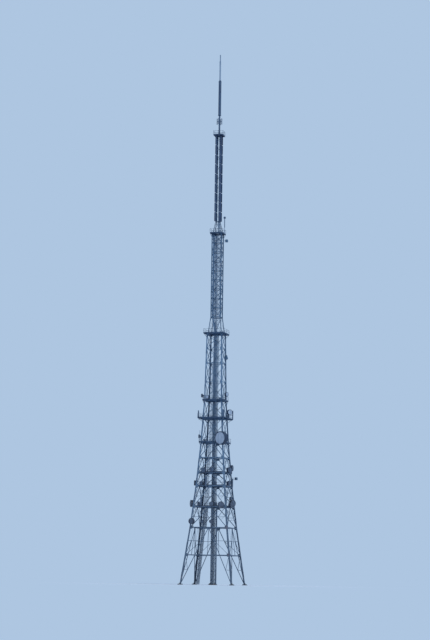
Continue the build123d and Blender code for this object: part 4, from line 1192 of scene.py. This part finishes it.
lamp_half = tower_half(LAMP_LEVEL)
lamp_foot = quarter((lamp_half - LAMP_ALONG, -lamp_half - LAMP_STAND, LAMP_LEVEL), RIGHT)
aerial_metal.length(lamp_foot, lamp_foot + INWARD * LAMP_ALONG, LAMP_ARM, UP)
aerial_metal.turned(lamp_foot, UP, LAMP, 20)
corner_level = deck_level["second_deck"] + CORNER_DRUM_RISE
corner_half = tower_half(corner_level)
for root, reach in (
    (Vector((mast_half - ARM_LAP, 0, DRUM_LEVEL)), DRUM_REACH),
    (Vector((corner_half - ARM_LAP, corner_half - CORNER_INSET, corner_level)), CORNER_DRUM_REACH),
):
    for rise in DRUM_ARM_RISES:
        aerial_metal.length(root + UP * rise, root + ACROSS * reach + UP * rise, DRUM_ARM, UP)
    aerial_metal.turned(root + ACROSS * reach, UP, DRUM, 20)
aerial_metal.made("aerial_clamps_and_lamp", "mast_steel")

# %% [markdown]
# ## Equipment on the decks
# Every dish and aerial needs a cable. It drops from the pipe, passes under the deck and joins the feeders in
# the column. Small cabinets stand on the walkways, back against the guard rail: a plinth, a body with cut
# corners, a door with its hinges and handle, and a lid that sheds the rain. They make the decks look crowded
# from far away, as in the picture. A bevelled box would give the same body, but an eight-cornered section
# also makes the plinth and the lid.

# %% Cables from the aerials to the column
CABLE_START, CABLE_DROP, THIN_CABLE = 0.004, 0.034, rod(0.0032)
aerial_cables = Stock()
for name, turns, along, *_ in (*SMALL_DISHES, *PANEL_AERIALS, *WHIP_AERIALS):
    pipe = perch(name, turns, along)
    under = pipe - UP * CABLE_DROP
    aerial_cables.length(pipe - UP * CABLE_START, under, THIN_CABLE)
    aerial_cables.length(under, quarter((along / 8, -column_half, under.z), turns), THIN_CABLE, UP)
aerial_cables.made("aerial_cables", "column_steel", cable_jacket)

# %% Cabinets on the walkways: deck, side, along it, width, height
CABINETS = (
    ("first_deck", FRONT, -0.330, 0.060, 0.110), ("first_deck", FRONT, 0.160, 0.080, 0.090),
    ("first_deck", RIGHT, 0.150, 0.070, 0.100), ("first_deck", LEFT, -0.120, 0.060, 0.110),
    ("second_deck", FRONT, 0.120, 0.070, 0.090), ("second_deck", RIGHT, 0.080, 0.060, 0.110),
    ("second_deck", LEFT, -0.180, 0.070, 0.100), ("third_deck", FRONT, -0.230, 0.060, 0.100),
    ("third_deck", BACK, 0.120, 0.070, 0.090), ("fourth_deck", LEFT, -0.140, 0.060, 0.090),
    ("fifth_deck", RIGHT, 0.060, 0.070, 0.110), ("fifth_deck", LEFT, -0.080, 0.060, 0.100),
    ("sixth_deck", RIGHT, 0.110, 0.060, 0.090), ("sixth_deck", BACK, -0.060, 0.060, 0.090),
)
CABINET_DEPTH, CORNER, RAIL_GAP = 0.040, 0.005, 0.014
PLINTH, PLINTH_GROWTH, LID, LID_GROWTH = 0.008, -0.008, 0.004, 0.006
DOOR_THICK, DOOR_MARGIN, DOOR_FOOT = 0.0015, 0.006, 0.014
HANDLE, HANDLE_OUT, HANDLE_INSET, HANDLE_HALF = rod(0.0016), 0.004, 0.014, 0.010
HINGE, HINGE_OUT, HINGE_HALF = rod(0.0022), 0.002, 0.006


def cut_section(width, growth):
    """A cabinet's outline, grown by as much on all sides, with its corners cut as folded sheet has."""
    w, d = (width + growth) / 2, (CABINET_DEPTH + growth) / 2
    u, v = w - CORNER, d - CORNER
    return [(-u, -d), (u, -d), (w, -v), (w, v), (u, d), (-u, d), (-w, v), (-w, -v)]


cabinets, cabinet_metal = Stock(), Stock()
for name, turns, along, width, height in CABINETS:
    out = rail_line(name)[0] - RAIL_GAP - CABINET_DEPTH / 2
    foot = quarter((along, -out, deck_level[name] + DECK_THICK + GRATE_HEIGHT), turns)
    across, inward = quarter(ACROSS, turns), quarter(INWARD, turns)
    cabinets.upright(foot, 0, PLINTH, cut_section(width, PLINTH_GROWTH), across)
    cabinets.upright(foot, PLINTH, height, cut_section(width, 0), across)
    cabinets.upright(foot, height, height + LID, cut_section(width, LID_GROWTH), across)
    door, edge = foot + inward * CABINET_DEPTH / 2, across * (width / 2 - DOOR_MARGIN)
    low, high = UP * DOOR_FOOT, UP * (height - DOOR_MARGIN)
    cabinets.plate([door - edge + low, door + edge + low, door + edge + high, door - edge + high],
                   inward * DOOR_THICK)
    handle = door + inward * HANDLE_OUT + across * (width / 2 - HANDLE_INSET) + UP * height / 2
    cabinet_metal.upright(handle, -HANDLE_HALF, HANDLE_HALF, HANDLE)
    for share in (0.25, 0.75):
        hinge = door + inward * HINGE_OUT - edge + UP * height * share
        cabinet_metal.upright(hinge, -HINGE_HALF, HINGE_HALF, HINGE)
cabinets.made("deck_cabinets", "aerial_shell")
cabinet_metal.made("cabinet_handles_and_hinges", "mast_steel", galvanised)

# %% [markdown]
# ## Feet
# Each leg stands on a plate with four holding-down bolts. A bolt has a washer, a nut with a locking nut over
# it, and a few threads showing. The column's foot has one at each corner. The bolts pass through the holes
# that the CAD plates have. A turned piece with six sides makes a nut, so no threads or cuts are needed.

# %% Holding-down bolts
PLATE_TOP, PLATE_MIDDLE, HOLE_STEP = 0.010, 0.735, 0.046
COLUMN_FOOT_TOP, COLUMN_FOOT_BOLT = 0.014, 0.086
STUD_RADIUS, STUD_POINT, THREADS_END, STUD_END = 0.0045, 0.003, 0.024, 0.026
NUT_RADIUS, NUT_BEVEL = 0.0092, 0.0082
WASHER = ((0, 0.0115), (0.002, 0.0115))
NUT = ((0.002, NUT_RADIUS), (0.010, NUT_RADIUS), (0.011, NUT_BEVEL))
LOCK_NUT = ((0.0112, NUT_RADIUS), (0.017, NUT_RADIUS), (0.018, NUT_BEVEL))
foot_bolts = Stock()


def holding_bolt(place, turns, top):
    """A stud through the plate, with a washer and two nuts."""
    foot = quarter(place, turns)
    stud = ((0, STUD_RADIUS), (top + THREADS_END, STUD_RADIUS), (top + STUD_END, STUD_POINT))
    foot_bolts.turned(foot, UP, stud, 12)
    for profile, sides in ((WASHER, 20), (NUT, 6), (LOCK_NUT, 6)):
        foot_bolts.turned(foot + UP * top, UP, profile, sides)


for turns in SIDES:
    for x in HANDS:
        for y in HANDS:
            holding_bolt((x * HOLE_STEP - PLATE_MIDDLE, y * HOLE_STEP - PLATE_MIDDLE, 0), turns, PLATE_TOP)
    holding_bolt((-COLUMN_FOOT_BOLT, -COLUMN_FOOT_BOLT, 0), turns, COLUMN_FOOT_TOP)
foot_bolts.made("holding_down_bolts", "base_steel", galvanised)

# %% [markdown]
# ## Stage
# The floor is a plain pale plane. Seen almost edge on, its far edge would draw a line behind the tower, so
# away from the tower it fades to the colour of the background. The fade goes by the distance from the
# tower's axis, so it is the same from every side, and the floor keeps the tower's shadow where that falls.

# %% Floor
FLOOR_SIZE, FADE_START, FADE_END, TONE_SCALE = 400, 1.5, 6, 0.4
BACKGROUND, FLOOR_SHADE, FLOOR_LIGHT = paint(174, 198, 225), paint(176, 196, 218), paint(182, 202, 224)

ground = Finish("pale_floor")
ground.surface(Base_Color=ground.mix(ground.noise(TONE_SCALE), FLOOR_SHADE, FLOOR_LIGHT), Roughness=0.8)
near_floor = Field(ground, ground.tree.nodes["Principled BSDF"].outputs["BSDF"])
far_floor = ground.node("ShaderNodeEmission", sockets={"Color": BACKGROUND})
distance = ground.node("ShaderNodeVectorMath", {"operation": "LENGTH"}, {0: ground.place}, output=1)
faded = ground.mask(distance, FADE_START, FADE_END) * ground.ray("Camera")
choice = ground.node("ShaderNodeMixShader", sockets={0: faded, 1: near_floor, 2: far_floor})
ground.fill(ground.tree.nodes["Material Output"], {"Surface": choice})

floor_mesh = bpy.data.meshes.new("floor")
corners = [(x * FLOOR_SIZE, y * FLOOR_SIZE, 0) for x, y in ((-1, -1), (1, -1), (1, 1), (-1, 1))]
floor_mesh.from_pydata(corners, [], [(0, 1, 2, 3)])
floor_mesh.materials.append(ground.material)
floor = placed("floor", floor_mesh)
print("floor fades from", FADE_START, "to", FADE_END, "m")

# %% [markdown]
# ## Light
# Soft light comes from all round, because a lamp alone would leave the far side of every bar black. One wide
# lamp then gives the steel a lighter and a darker side. The background has its own colour, which the camera,
# gloss and glass see and which lights nothing.

# %% World and lamp
LIGHT_COLOUR, LIGHT_STRENGTH = paint(240, 245, 255), 0.75
LAMP_STRENGTH, LAMP_SIZE, LAMP_TILT, LAMP_TURN = 1.6, math.radians(16), math.radians(48), math.radians(52)
world = bpy.data.worlds.new("studio")
bpy.context.scene.world = world
studio = Graph(world)
background = studio.node("ShaderNodeBackground", sockets={"Color": BACKGROUND})
light = studio.node("ShaderNodeBackground", sockets={"Color": LIGHT_COLOUR, "Strength": LIGHT_STRENGTH})
seen = studio.ray("Camera") + studio.ray("Glossy") + studio.ray("Transmission")
choice = studio.node("ShaderNodeMixShader", sockets={0: seen, 1: light, 2: background})
studio.fill(studio.tree.nodes["World Output"], {"Surface": choice})

sun = placed("key_lamp", bpy.data.lights.new("key_lamp", "SUN"))
sun.data.energy, sun.data.angle = LAMP_STRENGTH, LAMP_SIZE
sun.rotation_euler = (LAMP_TILT, 0, LAMP_TURN)
bpy.context.scene.view_settings.view_transform = "Standard"
print("lamp strength:", sun.data.energy)
